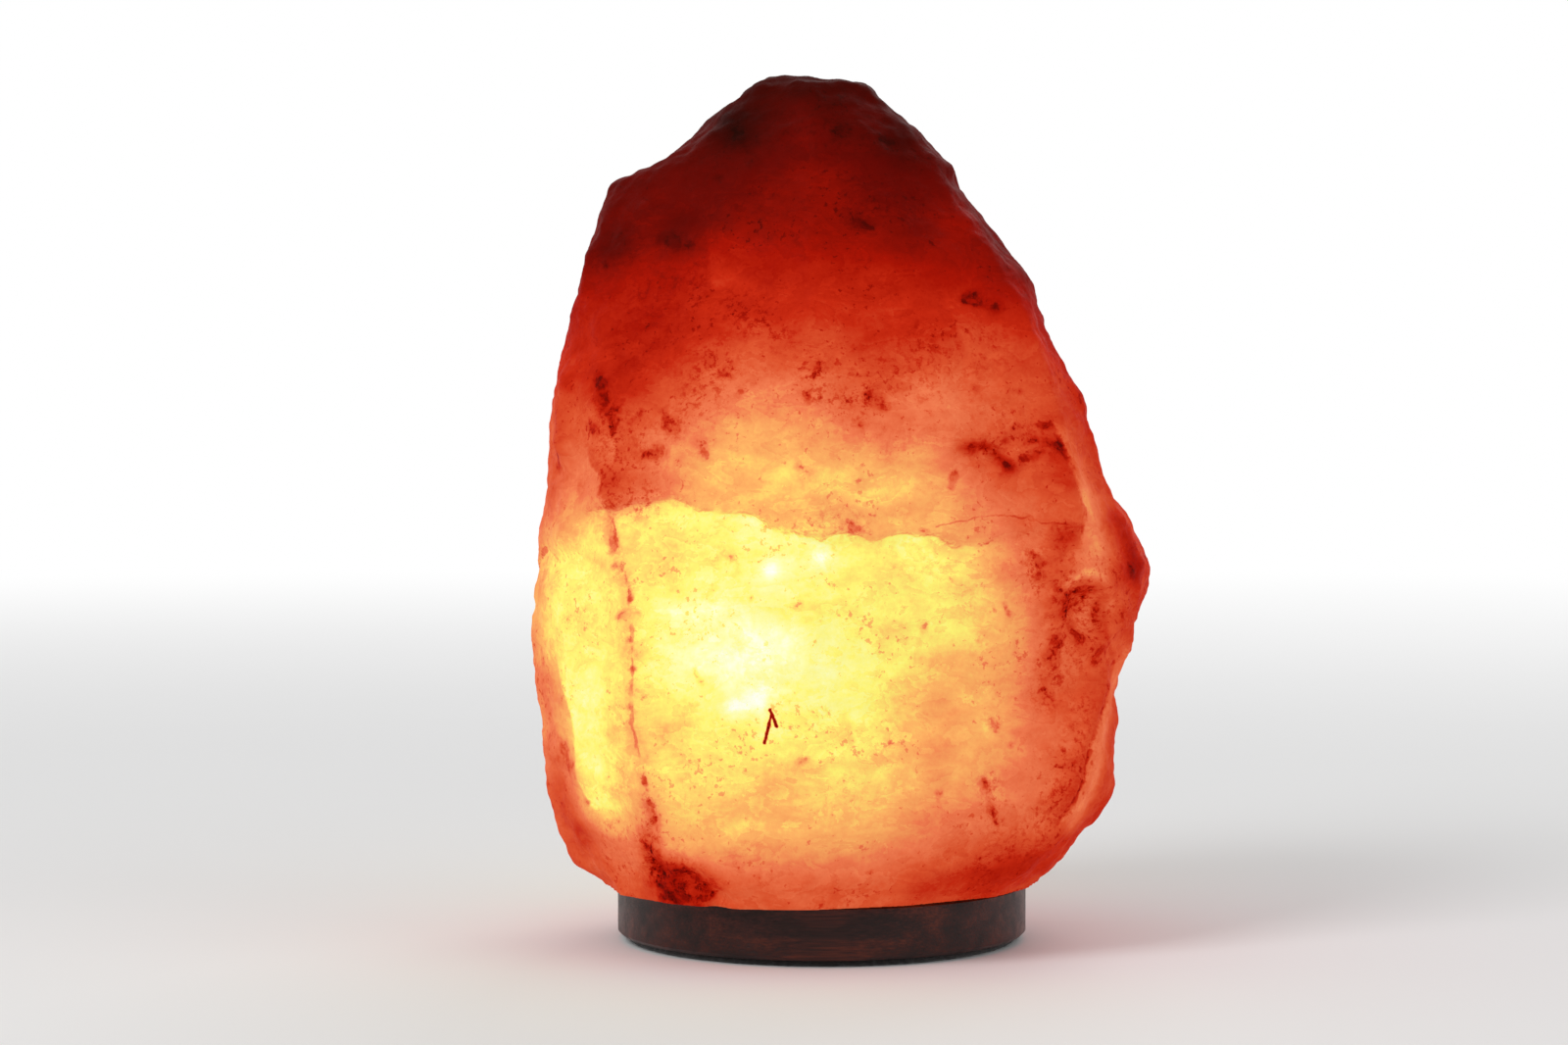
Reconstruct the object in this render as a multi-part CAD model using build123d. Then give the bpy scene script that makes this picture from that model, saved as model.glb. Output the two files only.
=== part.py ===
from build123d import *
import math
import os
import random

# A salt crystal lamp: a rough-hewn block of rock salt on a turned wooden base,
# lit from inside by a small bulb in a lampholder that clips into a bore.
# Millimetres, +Z up. The origin is on the base's axis at table level.
# The front faces -Y; the cord groove leaves at the back, +Y.

# --- Base ---------------------------------------------------------------
PAD_THICKNESS = 2.0
PAD_OUTER_R = 57.0
PAD_INNER_R = 46.0
PAD_GAP = 14.0            # where the pad leaves the cord groove open
BASE_R = 60.0
BASE_HEIGHT = 16.0
BASE_TOP = PAD_THICKNESS + BASE_HEIGHT
BASE_TOP_BEVEL = 1.6
BASE_FOOT_BEVEL = 1.0
BORE_R = 23.0             # one bore through the base and up into the salt
GROOVE_WIDTH = 8.0
GROOVE_DEPTH = 9.0

# --- Crystal ------------------------------------------------------------
BORE_TOP = 122.0
BORE_DOME = 9.0           # height of the tapered end of the bore
BORE_END_R = 14.0
CRYSTAL_APEX = (-16.0, -2.0, 252.8)
FACET_ROUGHNESS = 2.2     # how far a facet's corner strays in or out
FACET_BULGE = 1.06        # how far the faces stand out between two ridges
SEED = 11

# The ridges of the crystal from the sawn bottom to the top, each as
# (height, x, y). They go round anticlockwise as seen from above, starting at
# the left edge of the front view.
LEFT_EDGE = [
    (18, -62, -18), (24, -73, -14), (34, -78, -12), (52, -81, -10),
    (75, -84, -6), (93, -85.2, -4), (113, -84.3, -4), (131, -81, -5),
    (155, -78.5, -6), (176, -74.8, -8), (192, -70.3, -8), (211, -66, -6),
    (221, -62.0, -5), (224.5, -54.5, -4), (227, -47, -4), (233, -39.5, -3),
    (239, -33, -3), (249.5, -18.6, -2),
]
LEFT_RIDGE = [
    (18, -43, -59), (33, -48, -64), (47, -51, -66), (63, -52, -66),
    (79, -54, -65), (95, -55, -64), (106, -57, -61), (121, -61, -56),
    (145, -64, -45), (160, -64, -42), (190, -58, -33), (215, -51, -27),
    (228, -37, -24), (249.5, -17, -15),
]
FRONT_LINE = [
    (18, -5, -72), (33, -4, -77), (62, -3, -77), (95, -3, -75.5),
    (121, -3, -75), (150, -3, -71), (180, -3, -62),
    (205, -3, -51), (230, -2, -37), (249.5, -3, -22),
]
RIGHT_RIDGE = [
    (18, 47, -46), (30, 62, -50), (39, 69, -51), (46, 72.5, -50),
    (53, 74.5, -49), (62, 76, -47), (70, 80, -43), (78, 82, -38),
    (88, 79, -44), (98, 76, -49), (116, 74, -50), (133, 72, -48),
    (149, 68, -46), (175, 60, -42), (195, 52, -38), (207, 42, -34),
    (228, 30, -26), (249.5, 12, -17),
]
RIGHT_EDGE = [
    (18, 63, -8), (24, 71, -7), (32, 76, -5), (40, 80.5, -2),
    (52, 85.4, 0), (62, 86, 0), (75, 82.8, 0), (88, 88.5, 0),
    (94, 93.5, 0), (109, 97.2, 0), (121, 91.8, 0), (132, 81.3, 0),
    (163, 70.6, 0), (187, 60.4, 0), (192, 60.4, 0), (201, 55, 0),
    (206, 49.4, 0), (212, 44.5, 0), (231, 33.5, 0), (249.5, 11.2, 0),
]
BACK_RIGHT = [
    (18, 44, 40), (33, 62, 50), (62, 72, 54), (95, 74, 55), (130, 68, 52),
    (165, 58, 46), (200, 44, 36), (230, 28, 24), (249.5, 12, 13),
]
BACK_LINE = [
    (18, 0, 56), (33, 0, 68), (62, 0, 73), (95, 0, 74), (130, -2, 71),
    (165, -4, 62), (200, -6, 48), (230, -6, 33), (249.5, -6, 18),
]
BACK_LEFT = [
    (18, -46, 38), (33, -58, 47), (62, -64, 54), (95, -66, 56),
    (130, -64, 54), (165, -60, 46), (200, -54, 34), (222, -48, 24),
    (228, -40, 20), (249.5, -20, 11),
]
RIDGES = [
    LEFT_EDGE, LEFT_RIDGE, FRONT_LINE, RIGHT_RIDGE,
    RIGHT_EDGE, BACK_RIGHT, BACK_LINE, BACK_LEFT,
]
LEVELS = [
    18, 25, 34, 46, 60, 76, 90, 101, 110, 120, 120.8, 136, 147, 160, 176,
    190, 202, 213, 222, 227, 238, 249.5,
]
# A flake has split off the front below a ragged ledge, which lies between two of
# the levels: the heights of its corners, counted round from the left edge.
LEDGE_LEVELS = (120, 120.8)
LEDGE_CORNERS = {2: 128.5, 3: 129, 4: 120.4, 5: 119.4, 6: 122.5}
LEDGE_DEPTH = 1.5

# Chips broken out of the surface. Salt splits along three square planes, so each
# chip is the bite of a cube's corner: the corner's direction from the axis in
# degrees, its distance from the axis and its height, then how steeply the bite
# opens upward and how far the cube is turned.
CHIP_SIZE = 60.0
CHIPS = [
    (-51, 69.5, 142, 15, 20),      # scoop on the upper right of the front
    (-33, 77.5, 98, 0, 60),        # deep hollow in the right ridge
    (-128, 72.5, 30, -25, 10),     # lower end of the left ridge
    (-114, 69.5, 23, -30, 40),     # spall at the bottom of the front
    (-155, 41.0, 228, 35, 0),      # shoulder at the upper left
    (-14, 45.0, 209, 30, 30),      # step at the upper right
    (20, 86.0, 112, 25, 0),
    (40, 77.5, 52, -5, 45),
    (72, 58.0, 150, 20, 75),
    (122, 66.0, 82, -10, 38),
    (158, 72.0, 120, 5, 50),
]

# --- Fixings of the base ------------------------------------------------
SCREW_COUNT = 3
SCREW_CIRCLE_R = 36.0
SCREW_SHANK_R = 1.9
SCREW_HEAD_R = 3.8
SCREW_HEAD_HEIGHT = 2.6
SCREW_LENGTH = 30.0
SCREW_CLEARANCE_R = 2.3
COUNTERBORE_R = 4.6
COUNTERBORE_DEPTH = 4.0
PLUG_R = 3.8
PLUG_SIDES = 8            # the plugs are faceted, so that they can't turn in the salt
PLUG_LENGTH = 25.0

# --- Lampholder, size E14 -----------------------------------------------
HOLDER_R = 13.5
CAP_BOTTOM = 12.0
CAP_TOP = 26.0
CAP_FLOOR = 4.5
CORD_R = 3.6              # the cord's entry hole
HOLDER_WALL = 2.0
SHELL_TOP = 54.0
SHELL_LIP = 2.0
SHELL_MOUTH_R = 9.0
CARRIER_BOTTOM = 27.0
CARRIER_TOP = 34.0
CARRIER_R = 11.4
SOCKET_R = 7.2            # inside the screw shell
SOCKET_WALL = 0.5
SOCKET_TOP = 51.5
CONTACT_SHEET = 0.6
TERMINAL_X = 7.0
TERMINAL_SHANK_R = 1.5
TERMINAL_HEAD_R = 2.6

# --- Clips --------------------------------------------------------------
BAND_BOTTOM = 41.0
BAND_TOP = 50.0
BAND_THICKNESS = 0.7
PIN_X = 16.6
PIN_Z = 47.0
PIN_R = 1.0
CLIP_WIDTH = 10.0
CLIP_THICKNESS = 0.8
EYE_R = 2.0
EYE_HOLE_R = 1.05
EAR_THICKNESS = 1.0
EAR_HALF = 2.2            # half of an ear's height
EAR_CORNER = 1.3
EAR_GAP = 0.4             # between a clip's edge and each ear
BORE_GAP = 0.35           # between a clip's bow and the bore

# --- Bulb, pygmy shape on an E14 cap ------------------------------------
TIP_BOTTOM = 36.2
INSULATOR_BOTTOM = 37.4
BULB_CAP_BOTTOM = 40.4
BULB_CAP_TOP = 58.0
BULB_CAP_R = 6.8
BULB_CAP_FLARE_R = 8.2
BULB_CAP_WALL = 0.5
BULB_R = 14.0
BULB_WIDEST_Z = 88.0
BULB_TOP = 106.0
BULB_NECK_R = 6.1
BULB_NECK_BOTTOM = 46.0
GLASS_WALL = 0.7
STEM_R = 2.2
STEM_TOP = 68.0
WIRE_R = 0.35
FILAMENT_HALF = 7.5
FILAMENT_Z = 87.0
FILAMENT_RISE = 2.6


def revolved(points):
    """A solid turned from a closed outline of (radius, height) points."""
    with BuildPart() as part:
        with BuildSketch(Plane.XZ):
            with BuildLine():
                Polyline(*points, close=True)
            make_face()
        revolve(axis=Axis.Z)
    return part.part


def ring(outer_r, inner_r, bottom, top):
    """A plain tube on the Z axis."""
    return revolved([(inner_r, bottom), (outer_r, bottom), (outer_r, top), (inner_r, top)])


def rod(radius, bottom, top, x=0.0, y=0.0):
    """A cylinder parallel to Z."""
    place = Pos(x, y, (bottom + top) / 2)
    return place * Cylinder(radius, top - bottom)


def block(low, high):
    """A box between two corners."""
    size = [b - a for a, b in zip(low, high)]
    centre = [(a + b) / 2 for a, b in zip(low, high)]
    return Pos(*centre) * Box(*size)


def around(count, radius, start_deg=90.0):
    """Points evenly spaced on a circle about the Z axis."""
    for i in range(count):
        angle = math.radians(start_deg + i * 360 / count)
        yield radius * math.cos(angle), radius * math.sin(angle)


def screw_places():
    return around(SCREW_COUNT, SCREW_CIRCLE_R, start_deg=270.0)


# --- Crystal ------------------------------------------------------------
def on_ridge(ridge, height):
    """The (x, y) of a ridge at a height, on straight lines between its points."""
    for (z0, x0, y0), (z1, x1, y1) in zip(ridge, ridge[1:]):
        if height <= z1:
            t = max(0.0, (height - z0) / (z1 - z0))
            return x0 + t * (x1 - x0), y0 + t * (y1 - y0)
    return ridge[-1][1:]


def crystal_corner(index, height):
    """A corner of the outline: on a ridge, or on the face between two ridges."""
    here = on_ridge(RIDGES[index // 2], height)
    if index % 2 == 0:
        return here
    after = on_ridge(RIDGES[(index // 2 + 1) % len(RIDGES)], height)
    return tuple(FACET_BULGE * (a + b) / 2 for a, b in zip(here, after))


def moved_out(x, y, distance):
    """A point moved away from the Z axis."""
    factor = 1 + distance / math.hypot(x, y)
    return x * factor, y * factor


def crystal_levels():
    """The corners of the crystal, level by level, with the roughness of a split rock."""
    dice = random.Random(SEED)
    levels = []
    for below, height, above in zip([LEVELS[0]] + LEVELS, LEVELS, LEVELS[1:] + [LEVELS[-1]]):
        stray = 0.3 * min(height - below, above - height)
        on_ledge = height in LEDGE_LEVELS
        corners = []
        for index in range(2 * len(RIDGES)):
            z = height + dice.uniform(-stray, stray)
            if on_ledge and index in LEDGE_CORNERS:
                z = LEDGE_CORNERS[index] + height - LEDGE_LEVELS[0]
            x, y = crystal_corner(index, z)
            if index % 2 and not on_ledge:
                x, y = moved_out(x, y, dice.uniform(-1, 1) * FACET_ROUGHNESS)
            if height == LEDGE_LEVELS[0] and index in LEDGE_CORNERS:
                x, y = moved_out(x, y, -LEDGE_DEPTH)
            corners.append((x, y, z))
        levels.append(corners)
    return levels


def facets_between(lower, upper, flip):
    """Two triangles for each side between two levels."""
    count = len(lower)
    for i in range(count):
        j = (i + 1) % count
        if (i + flip) % 2:
            yield lower[i], lower[j], upper[i]
            yield lower[j], upper[j], upper[i]
        else:
            yield lower[i], lower[j], upper[j]
            yield lower[i], upper[j], upper[i]


def rough_crystal():
    """The split block as a closed shell of flat facets."""
    levels = crystal_levels()
    outlines = []
    for number, (lower, upper) in enumerate(zip(levels, levels[1:])):
        outlines.extend(facets_between(lower, upper, number))
    top = levels[-1]
    for i, corner in enumerate(top):
        outlines.append((corner, top[(i + 1) % len(top)], CRYSTAL_APEX))
    outlines.append(tuple(levels[0]))
    faces = [Face(Wire.make_polygon(outline, close=True)) for outline in outlines]
    return Solid(Shell(faces))


def salt_bore():
    dome = BORE_TOP - BORE_DOME
    return revolved([
        (0, BASE_TOP - 1), (BORE_R, BASE_TOP - 1), (BORE_R, dome),
        (BORE_END_R, BORE_TOP), (0, BORE_TOP),
    ])


def chip(direction_deg, distance, height, opens_up_deg, turn_deg):
    """A cube that stands on one corner, with that corner turned towards the axis."""
    direction, opens_up = math.radians(direction_deg), math.radians(opens_up_deg)
    outward = (
        math.cos(direction) * math.cos(opens_up),
        math.sin(direction) * math.cos(opens_up),
        math.sin(opens_up),
    )
    corner = (distance * math.cos(direction), distance * math.sin(direction), height)
    diagonal_deg = math.degrees(math.atan(math.sqrt(2)))
    on_corner = Rot(0, -diagonal_deg, 0) * Rot(0, 0, -45)
    cube = Box(CHIP_SIZE, CHIP_SIZE, CHIP_SIZE, align=Align.MIN)
    return Plane(origin=corner, z_dir=outward) * Rot(0, 0, turn_deg) * on_corner * cube


def make_salt_crystal():
    crystal = rough_crystal()
    for place in CHIPS:
        crystal = crystal - chip(*place)
    crystal = crystal - salt_bore()
    for x, y in screw_places():
        crystal = crystal - rod(PLUG_R, BASE_TOP - 1, BASE_TOP + 1 + SCREW_LENGTH, x, y)
    return crystal


# --- Base ---------------------------------------------------------------
def make_wooden_base():
    base = revolved([
        (BORE_R, PAD_THICKNESS), (BASE_R - BASE_FOOT_BEVEL, PAD_THICKNESS),
        (BASE_R, PAD_THICKNESS + BASE_FOOT_BEVEL), (BASE_R, BASE_TOP - BASE_TOP_BEVEL),
        (BASE_R - BASE_TOP_BEVEL, BASE_TOP), (BORE_R, BASE_TOP),
    ])
    groove = block(
        (-GROOVE_WIDTH / 2, 0, PAD_THICKNESS - 1),
        (GROOVE_WIDTH / 2, BASE_R + 1, PAD_THICKNESS + GROOVE_DEPTH),
    )
    base = base - groove
    for x, y in screw_places():
        base = base - rod(SCREW_CLEARANCE_R, PAD_THICKNESS - 1, BASE_TOP + 1, x, y)
        base = base - rod(COUNTERBORE_R, PAD_THICKNESS - 1, PAD_THICKNESS + COUNTERBORE_DEPTH, x, y)
    return base


def make_felt_pad():
    pad = ring(PAD_OUTER_R, PAD_INNER_R, 0, PAD_THICKNESS)
    gap = block((-PAD_GAP / 2, 0, -1), (PAD_GAP / 2, PAD_OUTER_R + 1, PAD_THICKNESS + 1))
    return pad - gap


def make_base_screws():
    seat = PAD_THICKNESS + COUNTERBORE_DEPTH
    screws = []
    for x, y in screw_places():
        screw = rod(SCREW_HEAD_R, seat - SCREW_HEAD_HEIGHT, seat, x, y)
        screw += rod(SCREW_SHANK_R, seat, seat + SCREW_LENGTH, x, y)
        screws.append(screw)
    return Compound(children=screws)


def make_wall_plugs():
    plugs = []
    for x, y in screw_places():
        outline = Pos(x, y, BASE_TOP) * RegularPolygon(PLUG_R, PLUG_SIDES)
        plug = extrude(outline, PLUG_LENGTH)
        plugs.append(plug - rod(SCREW_SHANK_R, BASE_TOP - 1, BASE_TOP + PLUG_LENGTH + 1, x, y))
    return Compound(children=plugs)


# --- Lampholder ---------------------------------------------------------
def make_holder_cap():
    return revolved([
        (CORD_R, CAP_BOTTOM), (CORD_R + 3, CAP_BOTTOM), (HOLDER_R - 1.5, CAP_BOTTOM + 3),
        (HOLDER_R, CAP_BOTTOM + 5.5), (HOLDER_R, CAP_TOP), (HOLDER_R - HOLDER_WALL, CAP_TOP),
        (HOLDER_R - HOLDER_WALL, CAP_BOTTOM + CAP_FLOOR + 1.5),
        (HOLDER_R - HOLDER_WALL - 2, CAP_BOTTOM + CAP_FLOOR), (CORD_R, CAP_BOTTOM + CAP_FLOOR),
    ])


def make_holder_shell():
    return revolved([
        (HOLDER_R - HOLDER_WALL, CAP_TOP), (HOLDER_R, CAP_TOP), (HOLDER_R, SHELL_TOP - 1),
        (HOLDER_R - 1, SHELL_TOP), (SHELL_MOUTH_R, SHELL_TOP),
        (SHELL_MOUTH_R, SHELL_TOP - SHELL_LIP),
        (HOLDER_R - HOLDER_WALL, SHELL_TOP - SHELL_LIP),
    ])


def make_contact_carrier():
    carrier = rod(CARRIER_R, CARRIER_BOTTOM, CARRIER_TOP)
    for side in (-1, 1):
        carrier = carrier - rod(
            TERMINAL_SHANK_R, CARRIER_BOTTOM - 1, CARRIER_TOP - 2, side * TERMINAL_X, 0)
    slot = block((-2.5, 9.6, CARRIER_BOTTOM - 1), (2.5, 10.2, CARRIER_TOP + 1))
    return carrier - slot


def make_screw_shell():
    outer = SOCKET_R + SOCKET_WALL
    flange = CARRIER_TOP + CONTACT_SHEET
    return revolved([
        (5.4, CARRIER_TOP), (outer, CARRIER_TOP), (outer, SOCKET_TOP), (SOCKET_R, SOCKET_TOP),
        (SOCKET_R, flange), (5.4, flange),
    ])


def make_centre_contact():
    """A bent tongue: a flat foot on the carrier, then an arch up to the bulb's tip."""
    with BuildPart() as part:
        with BuildSketch(Plane.XZ.offset(2)):
            with BuildLine():
                Polyline(
                    (-4.4, CARRIER_TOP), (-1.6, CARRIER_TOP), (0.4, TIP_BOTTOM - 0.5),
                    (2.6, TIP_BOTTOM - 0.5), (3.6, TIP_BOTTOM - 1.4), (4.1, TIP_BOTTOM - 1.1),
                    (2.9, TIP_BOTTOM), (0.1, TIP_BOTTOM), (-1.9, CARRIER_TOP + 0.5),
                    (-4.4, CARRIER_TOP + 0.5), close=True,
                )
            make_face()
        extrude(amount=-4)
    return part.part


def make_side_contact():
    """An angle of brass sheet from the screw shell down through the carrier."""
    outer = SOCKET_R + SOCKET_WALL
    top = block((-2.5, 6.5, CARRIER_TOP), (2.5, 10.2, CARRIER_TOP + CONTACT_SHEET))
    leg = block((-2.5, 9.6, CARRIER_BOTTOM), (2.5, 10.2, CARRIER_TOP + CONTACT_SHEET))
    return top + leg - rod(outer, CARRIER_TOP - 1, CARRIER_TOP + 2)


def make_terminal_screws():
    screws = []
    for side in (-1, 1):
        x = side * TERMINAL_X
        screw = rod(TERMINAL_HEAD_R, CARRIER_BOTTOM - 2, CARRIER_BOTTOM, x, 0)
        screws.append(screw + rod(TERMINAL_SHANK_R, CARRIER_BOTTOM, CARRIER_TOP - 2, x, 0))
    return Compound(children=screws)


# --- Clips --------------------------------------------------------------
def make_clip_band():
    band = ring(HOLDER_R + BAND_THICKNESS, HOLDER_R, BAND_BOTTOM, BAND_TOP)
    near = CLIP_WIDTH / 2 + EAR_GAP
    for side in (-1, 1):
        for edge in (-1, 1):
            y0, y1 = sorted((edge * near, edge * (near + EAR_THICKNESS)))
            ear = block((HOLDER_R - 2, y0, PIN_Z - EAR_HALF), (PIN_X + EAR_HALF, y1, PIN_Z + EAR_HALF))
            outer_edges = ear.edges().filter_by(Axis.Y).sort_by(Axis.X)[-2:]
            ear = chamfer(outer_edges, EAR_CORNER)
            ear -= rod(HOLDER_R + BAND_THICKNESS / 2, PIN_Z - 4, PIN_Z + 4)
            ear -= Pos(PIN_X, 0, PIN_Z) * Rot(90, 0, 0) * Cylinder(PIN_R, 3 * CLIP_WIDTH)
            band += ear if side == 1 else mirror(ear, Plane.YZ)
    return band


def make_clip_pins():
    length = CLIP_WIDTH + 2 * (EAR_GAP + EAR_THICKNESS) + 1.2
    pins = [
        Pos(side * PIN_X, 0, PIN_Z) * Rot(90, 0, 0) * Cylinder(PIN_R, length)
        for side in (-1, 1)
    ]
    return Compound(children=pins)


def make_spring_clip():
    """The right-hand leaf: an eye round the pin, a bow against the bore and a thumb end."""
    half = CLIP_THICKNESS / 2
    start = (PIN_X + EYE_R - half, 0, PIN_Z)
    bow_x = math.sqrt((BORE_R - BORE_GAP) ** 2 - (CLIP_WIDTH / 2) ** 2) - half
    bow = (bow_x, 0, PIN_Z - 12)
    waist = (19.4, 0, PIN_Z - 22.5)
    thumb = (21.0, 0, PIN_Z - 26.5)
    path = Spline(start, bow, waist, thumb, tangents=[(0.2, 0, -1), (1, 0, -0.5)])
    across = Plane(origin=start, x_dir=(0, 1, 0), z_dir=path % 0)
    leaf = sweep(across * Rectangle(CLIP_WIDTH, CLIP_THICKNESS), path=path)
    turn = Pos(PIN_X, 0, PIN_Z) * Rot(90, 0, 0)
    eye = turn * (Cylinder(EYE_R, CLIP_WIDTH) - Cylinder(EYE_HOLE_R, CLIP_WIDTH + 2))
    return leaf + eye


# --- Bulb ---------------------------------------------------------------
def make_bulb_cap():
    inner = BULB_CAP_R - BULB_CAP_WALL
    return revolved([
        (6.0, BULB_CAP_BOTTOM), (BULB_CAP_R, BULB_CAP_BOTTOM + 1.2),
        (BULB_CAP_R, SHELL_TOP + 0.8), (BULB_CAP_FLARE_R, BULB_CAP_TOP),
        (BULB_CAP_FLARE_R - BULB_CAP_WALL, BULB_CAP_TOP), (inner, SHELL_TOP + 1.4),
        (inner, BULB_CAP_BOTTOM + 1.4), (5.4, BULB_CAP_BOTTOM + 0.6), (5.4, BULB_CAP_BOTTOM),
    ])


def make_cap_insulator():
    return revolved([
        (0, INSULATOR_BOTTOM), (3.4, INSULATOR_BOTTOM), (5.4, BULB_CAP_BOTTOM), (0, BULB_CAP_BOTTOM),
    ])


def make_tip_contact():
    return revolved([
        (0, TIP_BOTTOM), (1.4, TIP_BOTTOM), (2.4, TIP_BOTTOM + 0.7), (2.4, INSULATOR_BOTTOM),
        (0, INSULATOR_BOTTOM),
    ])


def bulb_outline(inset):
    """Half of the bulb's section as points from the neck up, moved in by inset."""
    return [
        (BULB_NECK_R - inset, BULB_NECK_BOTTOM),
        (BULB_NECK_R - inset, BULB_CAP_TOP),
        (BULB_R - inset, BULB_WIDEST_Z),
        (0, BULB_TOP - inset),
    ]


def bulb_body(inset):
    """The bulb's outer or inner form: a straight neck, a swelling and a round top."""
    start, neck, wide, top = bulb_outline(inset)
    with BuildPart() as part:
        with BuildSketch(Plane.XZ):
            with BuildLine():
                Line((0, start[1]), start)
                Line(start, neck)
                Spline(neck, wide, top, tangents=[(0.2, 1), (-1, 0)])
                Line(top, (0, start[1]))
            make_face()
        revolve(axis=Axis.Z)
    return part.part


def make_bulb_glass():
    return bulb_body(0) - bulb_body(GLASS_WALL)


def make_glass_stem():
    return revolved([
        (0, BULB_NECK_BOTTOM + 1), (BULB_NECK_R - GLASS_WALL, BULB_NECK_BOTTOM + 1),
        (STEM_R, BULB_NECK_BOTTOM + 8), (STEM_R, STEM_TOP), (0, STEM_TOP),
    ])


def bent_wire(*points):
    """A round wire with sharp bends through the points."""
    path = Polyline(*points)
    section = Plane(origin=path @ 0, z_dir=path % 0) * Circle(WIRE_R)
    return sweep(section, path=path, transition=Transition.RIGHT)


def make_lead_wires():
    """Two leads that rise from the stem's press and bend out to the filament's ends."""
    wires = []
    for side in (-1, 1):
        wires.append(bent_wire(
            (side * 1.4, 0, STEM_TOP), (side * 1.4, 0, STEM_TOP + 4),
            (side * FILAMENT_HALF, 0, FILAMENT_Z)))
    return Compound(children=wires)


def make_filament():
    """The coiled wire between the leads, as one thin rod that rises to its middle."""
    foot = FILAMENT_Z + WIRE_R
    return bent_wire(
        (-FILAMENT_HALF, 0, foot), (-FILAMENT_HALF / 2, 0, foot + FILAMENT_RISE),
        (FILAMENT_HALF / 2, 0, foot + FILAMENT_RISE), (FILAMENT_HALF, 0, foot))


def write(name, shape):
    export_step(shape, f"parts/{name}.step")


def main():
    os.makedirs("parts", exist_ok=True)
    write("salt_crystal", make_salt_crystal())
    write("wooden_base", make_wooden_base())
    write("felt_pad", make_felt_pad())
    write("base_screws", make_base_screws())
    write("wall_plugs", make_wall_plugs())
    write("holder_cap", make_holder_cap())
    write("holder_shell", make_holder_shell())
    write("contact_carrier", make_contact_carrier())
    write("screw_shell", make_screw_shell())
    write("centre_contact", make_centre_contact())
    write("side_contact", make_side_contact())
    write("terminal_screws", make_terminal_screws())
    write("clip_band", make_clip_band())
    write("clip_pins", make_clip_pins())
    clip = make_spring_clip()
    write("spring_clip_right", clip)
    write("spring_clip_left", mirror(clip, Plane.YZ))
    write("bulb_cap", make_bulb_cap())
    write("cap_insulator", make_cap_insulator())
    write("tip_contact", make_tip_contact())
    write("bulb_glass", make_bulb_glass())
    write("glass_stem", make_glass_stem())
    write("lead_wires", make_lead_wires())
    write("filament", make_filament())


main()
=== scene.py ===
import bmesh
import bpy
import math
import numpy as np
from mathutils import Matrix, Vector, noise


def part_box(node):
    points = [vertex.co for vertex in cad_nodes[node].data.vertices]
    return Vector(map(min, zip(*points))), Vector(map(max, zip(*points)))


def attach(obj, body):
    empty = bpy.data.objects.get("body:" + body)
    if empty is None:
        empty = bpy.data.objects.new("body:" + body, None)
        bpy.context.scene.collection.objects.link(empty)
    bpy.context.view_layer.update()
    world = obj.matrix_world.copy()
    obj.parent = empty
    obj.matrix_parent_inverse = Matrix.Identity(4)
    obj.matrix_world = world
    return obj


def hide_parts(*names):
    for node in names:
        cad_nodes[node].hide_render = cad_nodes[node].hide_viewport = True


# A lit salt crystal lamp. Metres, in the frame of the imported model: +Z up, the front
# faces -Y, the origin on the base's axis at table level.
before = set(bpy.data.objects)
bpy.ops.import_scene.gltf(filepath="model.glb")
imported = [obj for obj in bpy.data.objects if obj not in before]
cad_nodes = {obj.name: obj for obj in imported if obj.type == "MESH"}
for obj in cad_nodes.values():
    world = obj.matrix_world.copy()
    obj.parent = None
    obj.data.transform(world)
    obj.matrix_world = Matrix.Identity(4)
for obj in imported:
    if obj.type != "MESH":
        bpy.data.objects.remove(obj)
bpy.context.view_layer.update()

MM = 0.001
SAME_PLACE = 0.001           # points closer than this, in millimetres, are one point


# --- Objects --------------------------------------------------------------
def new_object(name, mesh):
    piece = bpy.data.objects.new(name, mesh)
    bpy.context.scene.collection.objects.link(piece)
    return piece


def mesh_object(name, points, faces):
    """An object from points in metres and faces as lists of point numbers."""
    mesh = bpy.data.meshes.new(name)
    mesh.from_pydata([tuple(p) for p in points], [], faces)
    mesh.update()
    return new_object(name, mesh)


def reworked(piece, work):
    """Runs a step of mesh work on a piece."""
    tidy = bmesh.new()
    tidy.from_mesh(piece.data)
    work(tidy)
    tidy.to_mesh(piece.data)
    tidy.free()
    return piece


def merge_points(piece):
    def merge(tidy):
        bmesh.ops.remove_doubles(tidy, verts=tidy.verts, dist=SAME_PLACE * MM)
    return reworked(piece, merge)


def face_outward(piece):
    """Turns every face of a closed piece to look out."""
    def turn(tidy):
        bmesh.ops.recalc_face_normals(tidy, faces=tidy.faces)
    return reworked(piece, turn)


def apply_modifiers(piece):
    shape = piece.evaluated_get(bpy.context.evaluated_depsgraph_get())
    piece.data = bpy.data.meshes.new_from_object(shape)
    piece.modifiers.clear()
    return piece


def smooth_shaded(piece):
    piece.data.polygons.foreach_set("use_smooth", [True] * len(piece.data.polygons))
    return piece


def dressed(piece, material):
    """Gives a piece or a CAD node one material all over."""
    piece.data.materials.clear()
    piece.data.materials.append(material)
    return piece


def stands_for(piece, material, node, body):
    """Dresses a piece and puts it in the place of a CAD node."""
    dressed(piece, material)
    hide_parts(node)
    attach(piece, body)


def box_mm(node):
    """A CAD node's lowest and highest corners, in millimetres."""
    return [np.array(corner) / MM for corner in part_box(node)]


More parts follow.
